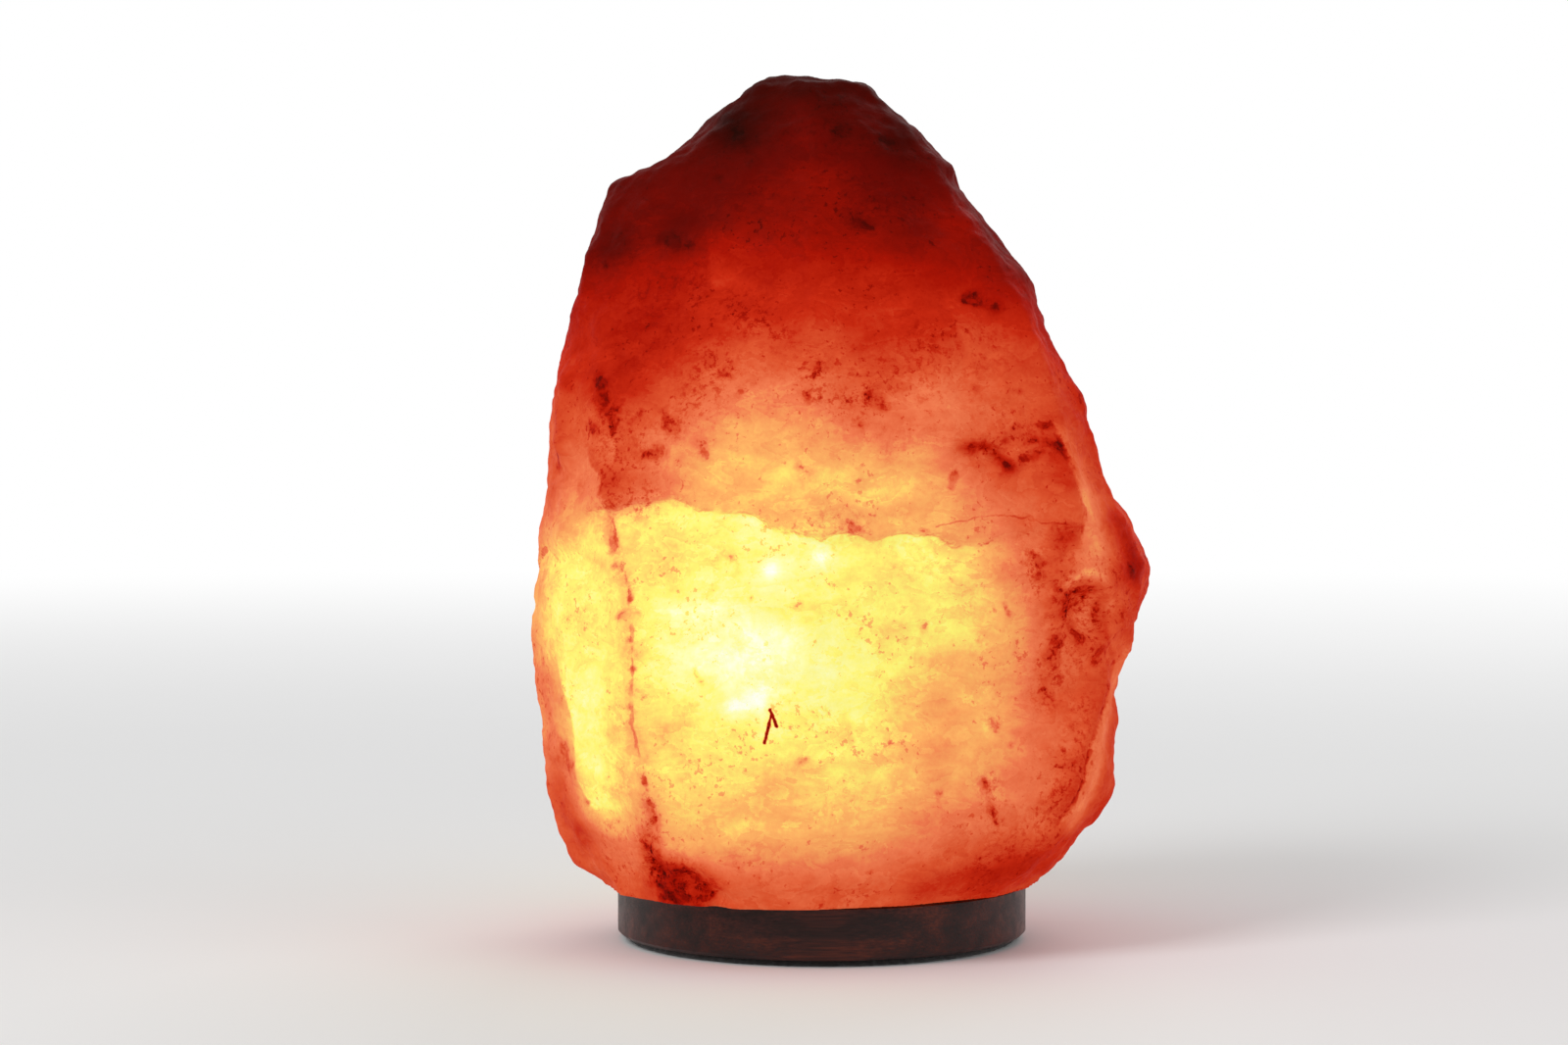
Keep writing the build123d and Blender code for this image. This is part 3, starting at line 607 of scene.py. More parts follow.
# Inclusions of reddish clay, painted shade along the scoop's upper edge and marks that
# darken the pits on the right: radius and places along a line, or one place.
STAINS_AND_SHADE = {
    FRONT: [
        (2.4, (-63, 162), (-61.8, 158), (-60.4, 155)), (1.2, (-59.6, 153), (-59, 149)),
        (1.7, (-65.9, 151.8), (-65.2, 149.6)), (1.3, (-53.6, 152), (-51.4, 154.2)), (2.1, (-53.6, 145.8)),
        (1.9, (-50.2, 142.7), (-47.7, 142.7), (-45.6, 144.6)), (2.8, (-44.4, 152.2), (-41.6, 150)),
        (1.6, (-34.6, 146.2), (-32.6, 142.8)), (1.6, (-23, 160.2)), (2.6, (-27, 165)),
        (1.5, (-4.9, 159.4)), (1, (-7.3, 140.4), (-4.2, 138.2)), (1.1, (-1.8, 168), (-2.6, 164.6)),
        (1.6, (-59.6, 123), (-58.6, 116.5)), (0.9, (-58, 112)), (0.9, (-54.4, 107), (-53.6, 103)),
        (1.2, (-57, 98), (-54, 100.2), (-51.2, 99)), (1.1, (-53.8, 92)), (0.9, (-52.6, 84)),
        (1.5, (-49.9, 55.6), (-49.5, 53)), (1.9, (-48.2, 46), (-46.8, 41.6)),
        (2.1, (-49.4, 38), (-48.8, 33.6)), (2.7, (-47.4, 30), (-45.7, 26.9)),
        (2, (-47.9, 24.8), (-44.9, 22.4)),
        (2.2, (-41, 26.4), (-38.7, 28.6), (-35.3, 26.9), (-32.9, 24.6)), (1.7, (-39.8, 23.6)),
        (2.4, (-43.6, 20.6), (-38, 20.2), (-33, 21)), (1.5, (-17.6, 27.2)),
        # Painted shade along the scoop's upper edge:
        (1.6, (40, 144.8), (43.6, 145.2)), (2, (45, 144.6), (48, 142.6), (51.4, 139.6)),
        (0.9, (53, 150.4), (56, 150.8)), (0.9, (60, 151.2), (63, 150.6)), (1.1, (56, 146), (59, 146.6)),
        (1, (62, 146.2), (66, 145)), (1.3, (55, 141.6), (60, 143)), (1, (50, 146.6)),
        (1.3, (41.8, 161.1)), (1.2, (55, 160.3)), (1.2, (49, 137.4)), (1, (36, 137.6), (35, 134)),
        (2.4, (12.6, 160), (15.6, 156.6)), (1.3, (9.8, 151.4)), (2, (5.2, 124.4), (9.4, 122.8)),
        (1.2, (-2.6, 123.4)), (0.55, (26.3, 122.3), (28.6, 122)), (1.6, (-25.8, 114.8)),
        (0.8, (50, 101.6), (51.2, 98.6)), (1.1, (27.7, 96.1)), (0.9, (42.8, 91.6)), (1, (18, 64)),
        (1, (-5.2, 60.2), (-7.4, 58.4)), (0.9, (-20, 104)), (1.3, (-7.6, 102)),
        (1.5, (57.6, 115.5), (60.2, 112.5)), (1.2, (59.6, 109.3)), (1, (-36, 84), (-34, 81)),
        (0.7, (27.2, 71.8), (28.8, 71)), (1.3, (46.2, 69), (48.6, 65.6)), (1, (52, 62.4)),
        (1.3, (44.4, 52.6), (45.6, 47), (48, 41)), (1.5, (31.4, 49.8)), (1, (12.8, 28)),
        (2, (-74, 58), (-73, 54)), (1.3, (-67, 44)), (2.8, (67.8, 104), (69.6, 100.6), (66.8, 97.6)),
        (2, (71.4, 104.4), (74, 105)), (1.8, (69.8, 94), (72, 90.8)), (1.7, (78, 88), (76.5, 84)),
        (2.2, (64.6, 91), (63.2, 86.8)), (1.4, (62, 80), (61.4, 77)), (1.3, (77.6, 100), (77, 96)),
        (1.1, (87, 111.4), (88, 109)), (3.2, (-26.5, 238), (-23, 233)), (2.2, (5, 234)),
        (1.7, (17, 232), (20, 231)), (1.9, (-20, 226)), (1.5, (-30, 221)),
        (1.9, (9.5, 208), (12.5, 206.6)), (2, (-44, 203), (-38, 202)), (1.8, (-59, 205), (-56, 207)),
        (1.4, (-62, 196)), (1.6, (40, 187), (48, 184)),
    ],
    BACK: [
        (2.2, (-38, 150), (-34, 146)), (1.6, (-20, 171)), (1.9, (26, 158), (30, 160)),
        (1.5, (44, 118), (46, 112), (45, 107)), (1.2, (10, 132)), (1.4, (-6, 96), (-3, 93)),
        (2.4, (-44, 92)), (1.7, (-40, 62), (-38, 55)), (1.6, (18, 61)), (2.3, (34, 43), (39, 40)),
        (1.8, (-14, 36), (-8, 33)), (2, (2, 190), (5, 188)), (2.2, (-30, 200)), (1.3, (52, 76)),
    ],
    RIGHT: [
        (2, (-20, 150), (-17, 146)), (1.6, (12, 128)), (2.2, (26, 100), (29, 94)), (1.4, (-8, 88)),
        (1.8, (6, 66), (4, 60)), (1.5, (30, 52)), (2, (-14, 46), (-10, 42)), (1.8, (10, 178)),
    ],
    LEFT: [
        (1.8, (-24, 142), (-20, 138)), (2, (4, 160)), (1.7, (20, 120), (22, 113)), (1.5, (-16, 84)),
        (1.4, (8, 92), (12, 90)), (2.2, (28, 70)), (1.9, (-4, 54), (-2, 49)), (1.6, (16, 40)),
    ],
}
# How bright the salt is at each distance from where the light seems to come from.
GLOW_CENTRE = (-8, 0, 90)
GLOW_DEPTH = 0.72            # the block looks thinner from the front and back
GLOW_FALL = [
    (0, 1), (40, 0.91), (60, 0.79), (72, 0.69), (84, 0.49), (100, 0.365), (124, 0.17), (160, 0.06),
    (185, 0.02),
]
# What the lit salt looks like from the thickest, dimmest places to the thinnest.
GLOW_COLOURS = [
    (0, (30, 1, 0)), (0.06, (62, 3, 0)), (0.14, (103, 8, 1)), (0.24, (165, 18, 3)), (0.33, (196, 40, 15)),
    (0.45, (219, 83, 45)), (0.57, (238, 121, 78)), (0.7, (252, 180, 100)), (0.8, (254, 244, 116)),
    (0.9, (253, 253, 183)), (1, (255, 255, 250)),
]
UNLIT_SALT = colour(178, 84, 56)
UNLIT_SHARE = 0.02
GLOW_IN_BASE = 0.38             # how much of the painted glow colour goes into the base colour, to come from the studio's light
STUDIO_LEVEL = 0.87          # how strongly the studio lights the front
# A dark needle with two prongs, in the salt of the front.
NEEDLE = [((-16.4, 64.6), (-14.6, 72.0)), ((-13.1, 69.0), (-14.9, 73.6))]
NEEDLE_Y = -76.0
NEEDLE_DIM = -0.62           # how much the needle changes the brightness
DEPTH_SHARE = 0.03           # how much of the depth counts, to keep it off the back


def facing(mesh, out, side):
    """How far each point looks out of a side, from 0 to 1, evened out over its neighbours."""
    _, looks, way = side
    return ease(blurred(mesh, way * out[:, looks], SIDE_BLUR), 0.15, 0.45)


def flat_on(points, side):
    """The points as (across, 0, z) places on a side."""
    return np.column_stack([points[:, side[0]], np.zeros(len(points)), points[:, 2]])


def distance_on(points, side, line):
    """Distance from a line of (across, z) places on a side, whatever the depth."""
    return distance_to_line(flat_on(points, side), [(across, 0.0, z) for across, z in line])


def spot(points, side, line, radius):
    """1 on a line of places on a side and 0 well beyond a radius from it."""
    off = distance_on(points, side, line) / radius
    return np.exp(-off * off)


def above_line(points, line):
    """How far each point lies above a line of (x, z) places on the front."""
    x, z = np.array(line).T
    return points[:, 2] - np.interp(points[:, 0], x, z)


def beside(points, line, reach, fade=4.0):
    """1 at one side of an upright line, falling off with distance, and 0 at its other side.
    It comes up over a height of fade from the line's lower end and goes within twice that."""
    x, z = np.array(sorted(line, key=lambda place: place[1])).T
    away = (points[:, 0] - np.interp(points[:, 2], z, x)) / reach
    start = ease(points[:, 2], z[0] - 0.5 * fade, z[0] + 0.5 * fade)
    end = ease(z[-1] - points[:, 2], -0.75 * fade, 1.25 * fade)
    return start * end * ease(away * abs(reach), -0.4, 0.4) * np.exp(-away * away)


def terraces(points):
    """Thin shelves that run nearly level round the block, as rock salt splits."""
    height = points[:, 2] + 0.18 * points[:, 0] + 7 * lumps(points, 45, 7)
    step = np.mod(height / 21, 1)
    return np.where(step < 0.9, -step, -(1 - step) * 9) * ease(lumps(points, 30, 12), -0.1, 0.4)


def weathering(points, sides):
    """Lumps, hollows and shelves all over the rock, and larger ones on its back."""
    patches = ease(lumps(points, 46, 3), -0.25, 0.35)
    relief = 0.3 + layers_of_lumps(points, ROCK_LUMPS)
    relief += 0.6 * patches * scallops(points, 24, 2, 1.5) + 0.40 * terraces(points)
    return relief + sides[BACK] * (1.3 * lumps(points, 34, 51, 1.3) + 0.9 * scallops(points, 32, 52, 1.4))


def scars(points, sides, jagged):
    """How deep the flakes of the other sides have cut in at each point."""
    depth = np.zeros(len(points))
    for side, places in SCARS.items():
        for runs, line, reach, deepest in places:
            flat = flat_on(points, side)
            if runs == "level":
                flat, line = flat[:, ::-1], [(z, across) for across, z in line]
            flat = flat + jagged[:, None] * (1, 0, 1)
            depth += sides[side] * deepest * beside(flat, line, reach, SCAR_FADE)
    return depth


def hollows(points, sides):
    """How deep the pits are at each point."""
    ragged = 0.30 * lumps(points, 7, 14, 1, 3)
    depth = np.zeros(len(points))
    for side, places in HOLLOWS.items():
        for middle, z, wide, high, deepest in places:
            off = np.hypot((points[:, side[0]] - middle) / wide, (points[:, 2] - z) / high)
            depth += deepest * sides[side] * ease(-off - ragged, -1.15, -0.45)
    return depth


def crack_distance(points, sides):
    crack = np.full(len(points), FAR)
    for side, lines in CRACKS.items():
        for line in lines:
            near = np.where(sides[side] > 0.3, distance_on(points, side, line), FAR)
            crack = np.minimum(crack, near)
    return crack


def make_salt_shape():
    """The block with the relief of split and weathered rock salt. Returns the piece."""
    piece = even_mesh("salt_block", "salt_crystal", SALT_VOXEL)
    mesh = piece.data
    points = points_of(mesh)
    radius = np.hypot(points[:, 0], points[:, 1])
    in_bore = (radius < BORE_R + BORE_REACH) & (points[:, 2] < BORE_TOP + 1)
    rock = ease(points[:, 2], SALT_BOTTOM + 0.3, SALT_BOTTOM + 4) * ~in_bore
    points = relaxed(mesh, points, rock, SALT_SMOOTHING)
    move_points(mesh, points)
    out = normals_of(mesh)
    front = facing(mesh, out, FRONT)
    sides = {FRONT: front}
    for side in (BACK, RIGHT, LEFT):
        sides[side] = facing(mesh, out, side) * (1 - front)

    jagged = 0.9 * lumps(points, 5, 8)
    scar = scars(points, sides, jagged + 2.4 * lumps(points, 16, 9))
    above = above_line(points, LEDGE) + jagged
    (left, full_left), (full_right, right) = LEDGE_ENDS
    on_ledge = front * ease(points[:, 0], left, full_left) * ease(-points[:, 0], -right, -full_right)
    crack = crack_distance(points, sides)
    relief = weathering(points, sides) - scar - hollows(points, sides)
    relief -= LEDGE_STEP * on_ledge * ease(-above, -0.5, 0.9) * ease(above, -62, -8)
    relief -= CRACK_DEPTH * ease(-crack, -2.0, 0)

    points = np.clip(points + out * (relief * rock)[:, None], *box_mm("salt_crystal"))
    sawn = (points[:, 2] < SALT_BOTTOM + 0.8) & (out[:, 2] < -0.5)
    points[sawn, 2] = SALT_BOTTOM
    wall = in_bore & (np.abs(out[:, 2]) < 0.5) & (points[:, 2] < BORE_TOP - 10)
    points[wall, :2] *= (BORE_R / radius[wall])[:, None]
    move_points(mesh, points)

    on_hairline = (points[:, 0] > HAIRLINE[0][0]) & (points[:, 0] < HAIRLINE[-1][0]) & (front > 0.3)
    level = glow(points, relief * rock, sides, on_ledge, above) + SCAR_GLOW * scar
    store(mesh, "glow", np.clip(np.where(in_bore, BORE_GLOW, level), 0, 1))
    store(mesh, "hairline", np.where(on_hairline, above_line(points, HAIRLINE), FAR))
    store(mesh, "ledge", np.where(on_ledge > 0.3, above, FAR))
    store(mesh, "crack", crack)
    store(mesh, "stain_and_shade", stains_and_shade(points, sides))
    store(mesh, "mottled", mottled(points, sides))
    return smooth_shaded(piece)


def glow(points, relief, sides, on_ledge, above):
    """How bright the painted glow is at each point, from 0 to 1: mostly by its distance from the lamp."""
    away = np.linalg.norm((points - GLOW_CENTRE) * (1, GLOW_DEPTH, 1), axis=1)
    level = np.interp(away, *np.array(GLOW_FALL).T)
    spread = 0.25 + 0.75 * ease(level, 0.1, 0.45)
    level += spread * (layers_of_lumps(points, GLOW_LUMPS) - 0.020 * np.clip(relief, -2, 2))
    # Painted light just below the front's ledge and painted shade just above it.
    level += on_ledge * 0.035 * ease(-above, -0.5, 0.5) * ease(above, -14, -2)
    level -= on_ledge * 0.045 * ease(above, -0.5, 0.5) * ease(-above, -16, -2)
    for side, places in GLOW_PATCHES.items():
        for middle, z, radius, more in places:
            level += sides[side] * more * spot(points, side, [(middle, z)], radius)
    for line, radius, more in GLOW_STROKES:
        level += sides[FRONT] * more * spot(points, FRONT, line, radius)
    for line, reach, more in FLAKE_EDGE_GLOW:
        level += sides[FRONT] * more * beside(points, line, reach)
    return level


def mottled(points, sides):
    """How dense the fine clay specks are at each point, from 0 to 1."""
    density = 0.22 * ease(lumps(points, 17, 41, 1, 2), 0.05, 0.5)
    for side, clouds in CLOUDS.items():
        for radius, most, *line in clouds:
            density = np.maximum(density, sides[side] * most * spot(points, side, line, radius))
    return density


def stains_and_shade(points, sides):
    """Distance to the nearest dark mark, in its radii, and a little more where it is faint."""
    best = np.full(len(points), FAR)
    number = 0
    for side, marks in STAINS_AND_SHADE.items():
        for radius, *line in marks:
            away = np.where(sides[side] > 0.25, distance_on(points, side, line), FAR)
            faintness = 0.55 * (number * 0.618 % 1)
            best = np.minimum(best, away / radius + faintness)
            number += 1
    return best


def near_needle(finish):
    """1 on the dark needle and 0 off it; its prongs taper."""
    flat = finish.vector("MULTIPLY", finish.place, (1, DEPTH_SHARE, 1))
    marks = []
    for start, end in NEEDLE:
        a, b = [Vector((x, NEEDLE_Y * DEPTH_SHARE, z)) * MM for x, z in (start, end)]
        along = b - a
        from_a = finish.vector("SUBTRACT", flat, a)
        share = finish.times(finish.vector("DOT_PRODUCT", from_a, along), 1 / along.length_squared)
        share = finish.math("MINIMUM", finish.math("MAXIMUM", share, 0.0), 1.0)
        reach = finish.add("ShaderNodeVectorMath", {0: along, "Scale": share}, operation="SCALE")
        away = finish.vector("DISTANCE", from_a, reach.outputs[0])
        away = finish.total(away, finish.times(finish.noise(0.9, detail=2), 0.7 * MM))
        marks.append(finish.between(away, 0.55 * MM, 0.95 * MM, 1, 0))
    return finish.math("MAXIMUM", *marks)


def clay_and_shade_marks(finish):
    """How clay inclusions, flecks and specks, painted shade and darker pits change the brightness."""
    ragged = finish.around_zero(finish.noise(4.5, detail=4, rough=0.62), 4.2)
    stain_and_shade = finish.total(finish.attribute("stain_and_shade"), ragged)
    core = finish.between(stain_and_shade, 0.55, 0.95, 1, 0)
    halo = finish.between(stain_and_shade, 0.70, 1.90, 1, 0)
    patchy = finish.between(finish.noise(2.6, detail=4, rough=0.6), 0.40, 0.60, 0.25, 1.0)
    clusters = finish.between(finish.noise(19, detail=2), 0.46, 0.68)
    limit = finish.total(finish.times(clusters, 0.085), 0.325)
    fleck = finish.math("SUBTRACT", finish.noise(1.9, detail=4, rough=0.62), limit)
    clay = finish.between(finish.noise(8.5, detail=6, rough=0.72), 0.27, 0.32, 1, 0)
    specks = finish.between(finish.noise(2.1, detail=6, rough=0.75), 0.49, 0.62)
    return finish.total(
        finish.times(core, patchy, -0.13),
        finish.times(halo, -0.06),
        finish.times(finish.between(fleck, -0.02, 0.02, 1, 0), -0.10),
        finish.times(clay, -0.10),
        finish.times(specks, finish.attribute("mottled"), -0.17),
    )


def seam_marks(finish):
    """How the ledge, the cracks, the hairline and fine veins change the brightness."""
    veins = finish.math("SUBTRACT", finish.noise(26, detail=5, rough=0.6, twist=0.3), 0.5)
    vein = finish.between(finish.math("ABSOLUTE", veins), 0.0, 0.003, 1, 0)
    some = finish.between(finish.noise(40, detail=1), 0.54, 0.6)
    wander = finish.around_zero(finish.noise(4.5, detail=5, rough=0.65), 4.4)
    broken = finish.between(finish.noise(7, detail=3), 0.40, 0.56, 0.15, 1.0)
    ledge = finish.math("ABSOLUTE", finish.total(finish.attribute("ledge"), wander))
    crack = finish.total(finish.attribute("crack"), wander)
    hairline = finish.total(finish.attribute("hairline"), finish.times(wander, 0.5))
    hairline = finish.math("ABSOLUTE", hairline)
    return finish.total(
        finish.times(vein, some, -0.05),
        finish.times(finish.between(ledge, 0.0, 0.5, 1, 0), broken, -0.08),
        finish.times(finish.between(crack, 0.15, 0.75, 1, 0), broken, -0.13),
        finish.times(finish.between(hairline, 0.10, 0.40, 1, 0), broken, -0.11),
    )


def salt_material():
    """Rock salt with a light inside it: a painted glow at each place, changed by what lies in it."""
    finish = Finish("lit_rock_salt", specular=0.012)
    level = finish.attribute("glow")
    layered = finish.stretched((1, 1, 1.7))
    flakes = finish.noise(17, detail=6, rough=0.60, where=layered, twist=0.3)
    flakes = finish.math("FRACT", finish.times(flakes, 7.0))
    cloud = finish.noise(9, detail=5, rough=0.62, where=layered, twist=0.4)
    grain = finish.noise(1.1, detail=2, rough=0.6)
    curds = finish.around_zero(finish.noise(7, detail=6, rough=0.66, twist=0.4), 0.20)
    brightest = finish.between(level, 0.78, 0.90)
    change = finish.total(
        finish.around_zero(flakes, 0.040),
        finish.around_zero(cloud, 0.10),
        finish.around_zero(grain, 0.06),
        clay_and_shade_marks(finish),
        seam_marks(finish),
        finish.times(curds, brightest),
    )
    shown = finish.between(level, 0.0, 0.45, 0.15, 1.0)
    level = finish.total(level, finish.times(change, shown), finish.times(near_needle(finish), NEEDLE_DIM))

    lit = finish.ramp(level, GLOW_COLOURS)
    # The base colour is a dimmed copy of the painted glow colour; the emission makes up the rest.
    base = finish.mix(UNLIT_SHARE, finish.dimmed(lit, GLOW_IN_BASE), UNLIT_SALT)
    emitted = finish.vector("SUBTRACT", lit, finish.dimmed(base, STUDIO_LEVEL))
    fine = finish.bump(finish.noise(2.4, detail=5, rough=0.6), 0.3, 0.5)
    return finish.give(
        Base_Color=base,
        Emission_Color=finish.vector("MAXIMUM", emitted, (0, 0, 0)),
        Emission_Strength=1.0,
        Roughness=finish.between(finish.noise(5, detail=4), 0.3, 0.7, 0.5, 0.7),
        Normal=finish.bump(flakes, 0.35, 0.35, fine),
    )


# --- Wooden base ----------------------------------------------------------
FELT_VOXEL = 0.8


def wood_material():
    """Dark stained hardwood, its grain along X, under a thin satin lacquer."""
    finish = Finish("dark_stained_wood", specular=0.22)
    rings = finish.noise(5.5, detail=4, rough=0.55, where=finish.stretched((0.06, 1, 1)), twist=0.4)
    fibres = finish.noise(0.55, detail=3, rough=0.6, where=finish.stretched((0.035, 1, 1)))
    grain = finish.total(finish.times(rings, 0.6), finish.times(fibres, 0.4))
    wood = finish.ramp(grain, [
        (0.34, (20, 6, 3)), (0.45, (38, 12, 7)), (0.54, (60, 21, 12)), (0.64, (88, 36, 19)),
    ])
    dark = finish.between(finish.noise(30, detail=2), 0.3, 0.7, 0.3, 0.0)
    pores = finish.between(fibres, 0.30, 0.42, 0, 1)
    return finish.give(
        Base_Color=finish.mix(dark, wood, colour(18, 5, 3)),
        Roughness=finish.between(grain, 0.3, 0.7, 0.48, 0.33),
        Normal=finish.bump(pores, 0.08, 0.7, finish.bump(rings, 0.12, 0.5)),
        Coat_Weight=0.08,
        Coat_Roughness=0.3,
    )


def felt_material():
    finish = Finish("black_felt", roughness=0.95, specular=0.1)
    fuzz = finish.noise(0.5, detail=5, rough=0.75, where=finish.stretched((1, 1, 2)), twist=1.5)
    shade = finish.ramp(fuzz, [(0.3, (20, 19, 19)), (0.75, (58, 55, 54))])
    return finish.give(Base_Color=shade, Normal=finish.bump(fuzz, 0.4, 0.9), Sheen_Weight=0.4)


def make_felt_pad():
    piece = even_mesh("felt_ring", "felt_pad", FELT_VOXEL)
    mesh = piece.data
    points = relaxed(mesh, points_of(mesh), np.ones(len(mesh.vertices)), 2)
    fuzz = 0.16 * lumps(points, 1.8, 31) + 0.1 * lumps(points, 5, 32) - 0.12
    points = points + normals_of(mesh) * fuzz[:, None]
    move_points(mesh, np.clip(points, *box_mm("felt_pad")))
    stands_for(smooth_shaded(piece), felt_material(), "felt_pad", "lamp_body")


# --- Turned, threaded and wound pieces ------------------------------------
TURN_STEPS = 72
THREAD_PITCH = 2.82          # of the bulb's cap and its shell
THREAD_FADE = 0.8            # the height over which a thread starts and ends
CAP_CREST_R = 6.8
CAP_BORE_R = 6.15
CAP_THREAD_DEPTH = 0.5
SHELL_THREAD_DEPTH = 0.25
SHELL_SHEET = 0.6
SCREW_PITCH = 1.8
SCREW_COUNT = 3
SCREW_CIRCLE_R = 36.0
SCREW_SHANK_R = 1.9
SCREW_ROOT_R = 1.35
SCREW_HEAD = 2.6
RECESS_DEPTH = 1.5
BULB_NECK_R = 6.1
BULB_R = 14.0
BULB_SHOULDER = 58.0         # where the glass starts to swell above its neck
BULB_WIDEST = 88.0
GLASS_WALL = 0.7
GLASS_RIM = 0.2
COIL_R = 0.25
COIL_WIRE_R = 0.09
COIL_TURNS = 44
COIL_STEPS = 10              # points in each turn of the filament
FILAMENT_STRENGTH = 7.0


def lathe(name, profile, steps=TURN_STEPS, shape=None, closed=True):
    """A turned piece from (radius, height) points. A closed profile is a tube's section;
    an open one starts and ends on the axis. shape(radius, height, angle) moves a radius."""
    points, faces = [], []
    for radius, height in profile:
        for step in range(steps):
            angle = 2 * math.pi * step / steps
            r = shape(radius, height, angle) if shape else radius
            points.append((r * math.cos(angle) * MM, r * math.sin(angle) * MM, height * MM))
    rows = len(profile)
    for row in range(rows if closed else rows - 1):
        below, above = row * steps, (row + 1) % rows * steps
        for step in range(steps):
            after = (step + 1) % steps
            faces.append((below + step, below + after, above + after, above + step))

    def drop_flat_faces(tidy):
        bmesh.ops.dissolve_degenerate(tidy, edges=tidy.edges, dist=SAME_PLACE * MM)
    piece = merge_points(mesh_object(name, points, faces))
    return face_outward(reworked(piece, drop_flat_faces))


def on_thread(height, angle, pitch):
    """1 on the crest of a right-hand thread and 0 in its root."""
    return 0.5 + 0.5 * math.cos(2 * math.pi * height / pitch - angle)


def rolled_thread(radii, first, last, depth):
    """A shape for lathe() that rolls a thread into some radii between two heights."""
    def shape(radius, height, angle):
        if radius not in radii or not first < height < last:
            return radius
        fade = min(1, (height - first) / THREAD_FADE, (last - height) / THREAD_FADE)
        return radius - depth * fade * (1 - on_thread(height, angle, THREAD_PITCH))
    return shape


def steps_between(start, end, step):
    count = max(2, round(abs(end - start) / step))
    return [start + (end - start) * i / count for i in range(count + 1)]


def soft_edges(piece, degrees=35):
    """Smooth shading that keeps edges sharper than an angle."""
    smooth_shaded(piece)
    piece.data.set_sharp_from_angle(angle=math.radians(degrees))
    return piece


def make_bulb_cap():
    low, high = box_mm("bulb_cap")
    bottom, top, flare = low[2], high[2], high[0]
    first, last = bottom + 1.6, top - 4.2
    outside = [(5.4, bottom), (6.0, bottom), (6.5, bottom + 0.5), (6.75, bottom + 1.1)]
    outside += [(CAP_CREST_R, z) for z in steps_between(first, last, THREAD_PITCH / 12)]
    outside += [(CAP_CREST_R, top - 3.4), (7.0, top - 2.6), (7.7, top - 1.1)]
    outside += [(flare - 0.12, top - 0.3), (flare, top)]
    inside = [(flare - 0.5, top), (6.4, top - 2.9), (CAP_BORE_R, top - 3.6)]
    inside += [(CAP_BORE_R, bottom + 1.8), (5.4, bottom + 0.9)]
    thread = rolled_thread([CAP_CREST_R], first, last, CAP_THREAD_DEPTH)
    piece = soft_edges(lathe("bulb_cap_threaded", outside + inside, shape=thread))
    plate = metal("nickel_plate", (188, 184, 176), 0.24)
    stands_for(piece, plate, "bulb_cap", "bulb")


def make_screw_shell():
    low, high = box_mm("screw_shell")
    bottom, top, outer = low[2], high[2], high[0]
    inner = outer - 0.5
    first, last = bottom + 2.4, top - 0.8
    rows = steps_between(first, last, THREAD_PITCH / 12)
    outside = [(5.4, bottom), (outer - 0.3, bottom), (outer, bottom + 0.3)]
    outside += [(outer, z) for z in rows] + [(outer, top)]
    inside = [(inner, top)] + [(inner, z) for z in reversed(rows)]
    inside += [(inner, bottom + SHELL_SHEET + 0.3), (inner - 0.3, bottom + SHELL_SHEET)]
    inside += [(5.4, bottom + SHELL_SHEET)]
    thread = rolled_thread([inner, outer], first, last, SHELL_THREAD_DEPTH)
    piece = soft_edges(lathe("screw_shell_threaded", outside + inside, shape=thread))
    stands_for(piece, metal("brass_sheet", BRASS, 0.3), "screw_shell", "lampholder")


def cross_recess(bottom, depth):
    """A cutter in the shape of a cross that narrows as it goes up into a head."""
    ends = []
    for height, reach, half in ((bottom - 0.5, 2.1, 0.5), (bottom + depth, 1.1, 0.36)):
        for turn in range(4):
            for along, across in ((half, -half), (reach, -half), (reach, half)):
                c, s = [(1, 0), (0, 1), (-1, 0), (0, -1)][turn]
                x, y = along * c - across * s, along * s + across * c
                ends.append((x * MM, y * MM, height * MM))
    sides = [(i, (i + 1) % 12, 12 + (i + 1) % 12, 12 + i) for i in range(12)]
    caps = [tuple(range(11, -1, -1)), tuple(range(12, 24))]
    return face_outward(mesh_object("recess", ends, caps + sides))


def cut(piece, cutter):
    """Takes one closed piece out of another."""
    trim = piece.modifiers.new("cut", "BOOLEAN")
    trim.object = cutter
    trim.operation = "DIFFERENCE"
    trim.solver = "EXACT"
    apply_modifiers(piece)
    bpy.data.objects.remove(cutter)
    return piece


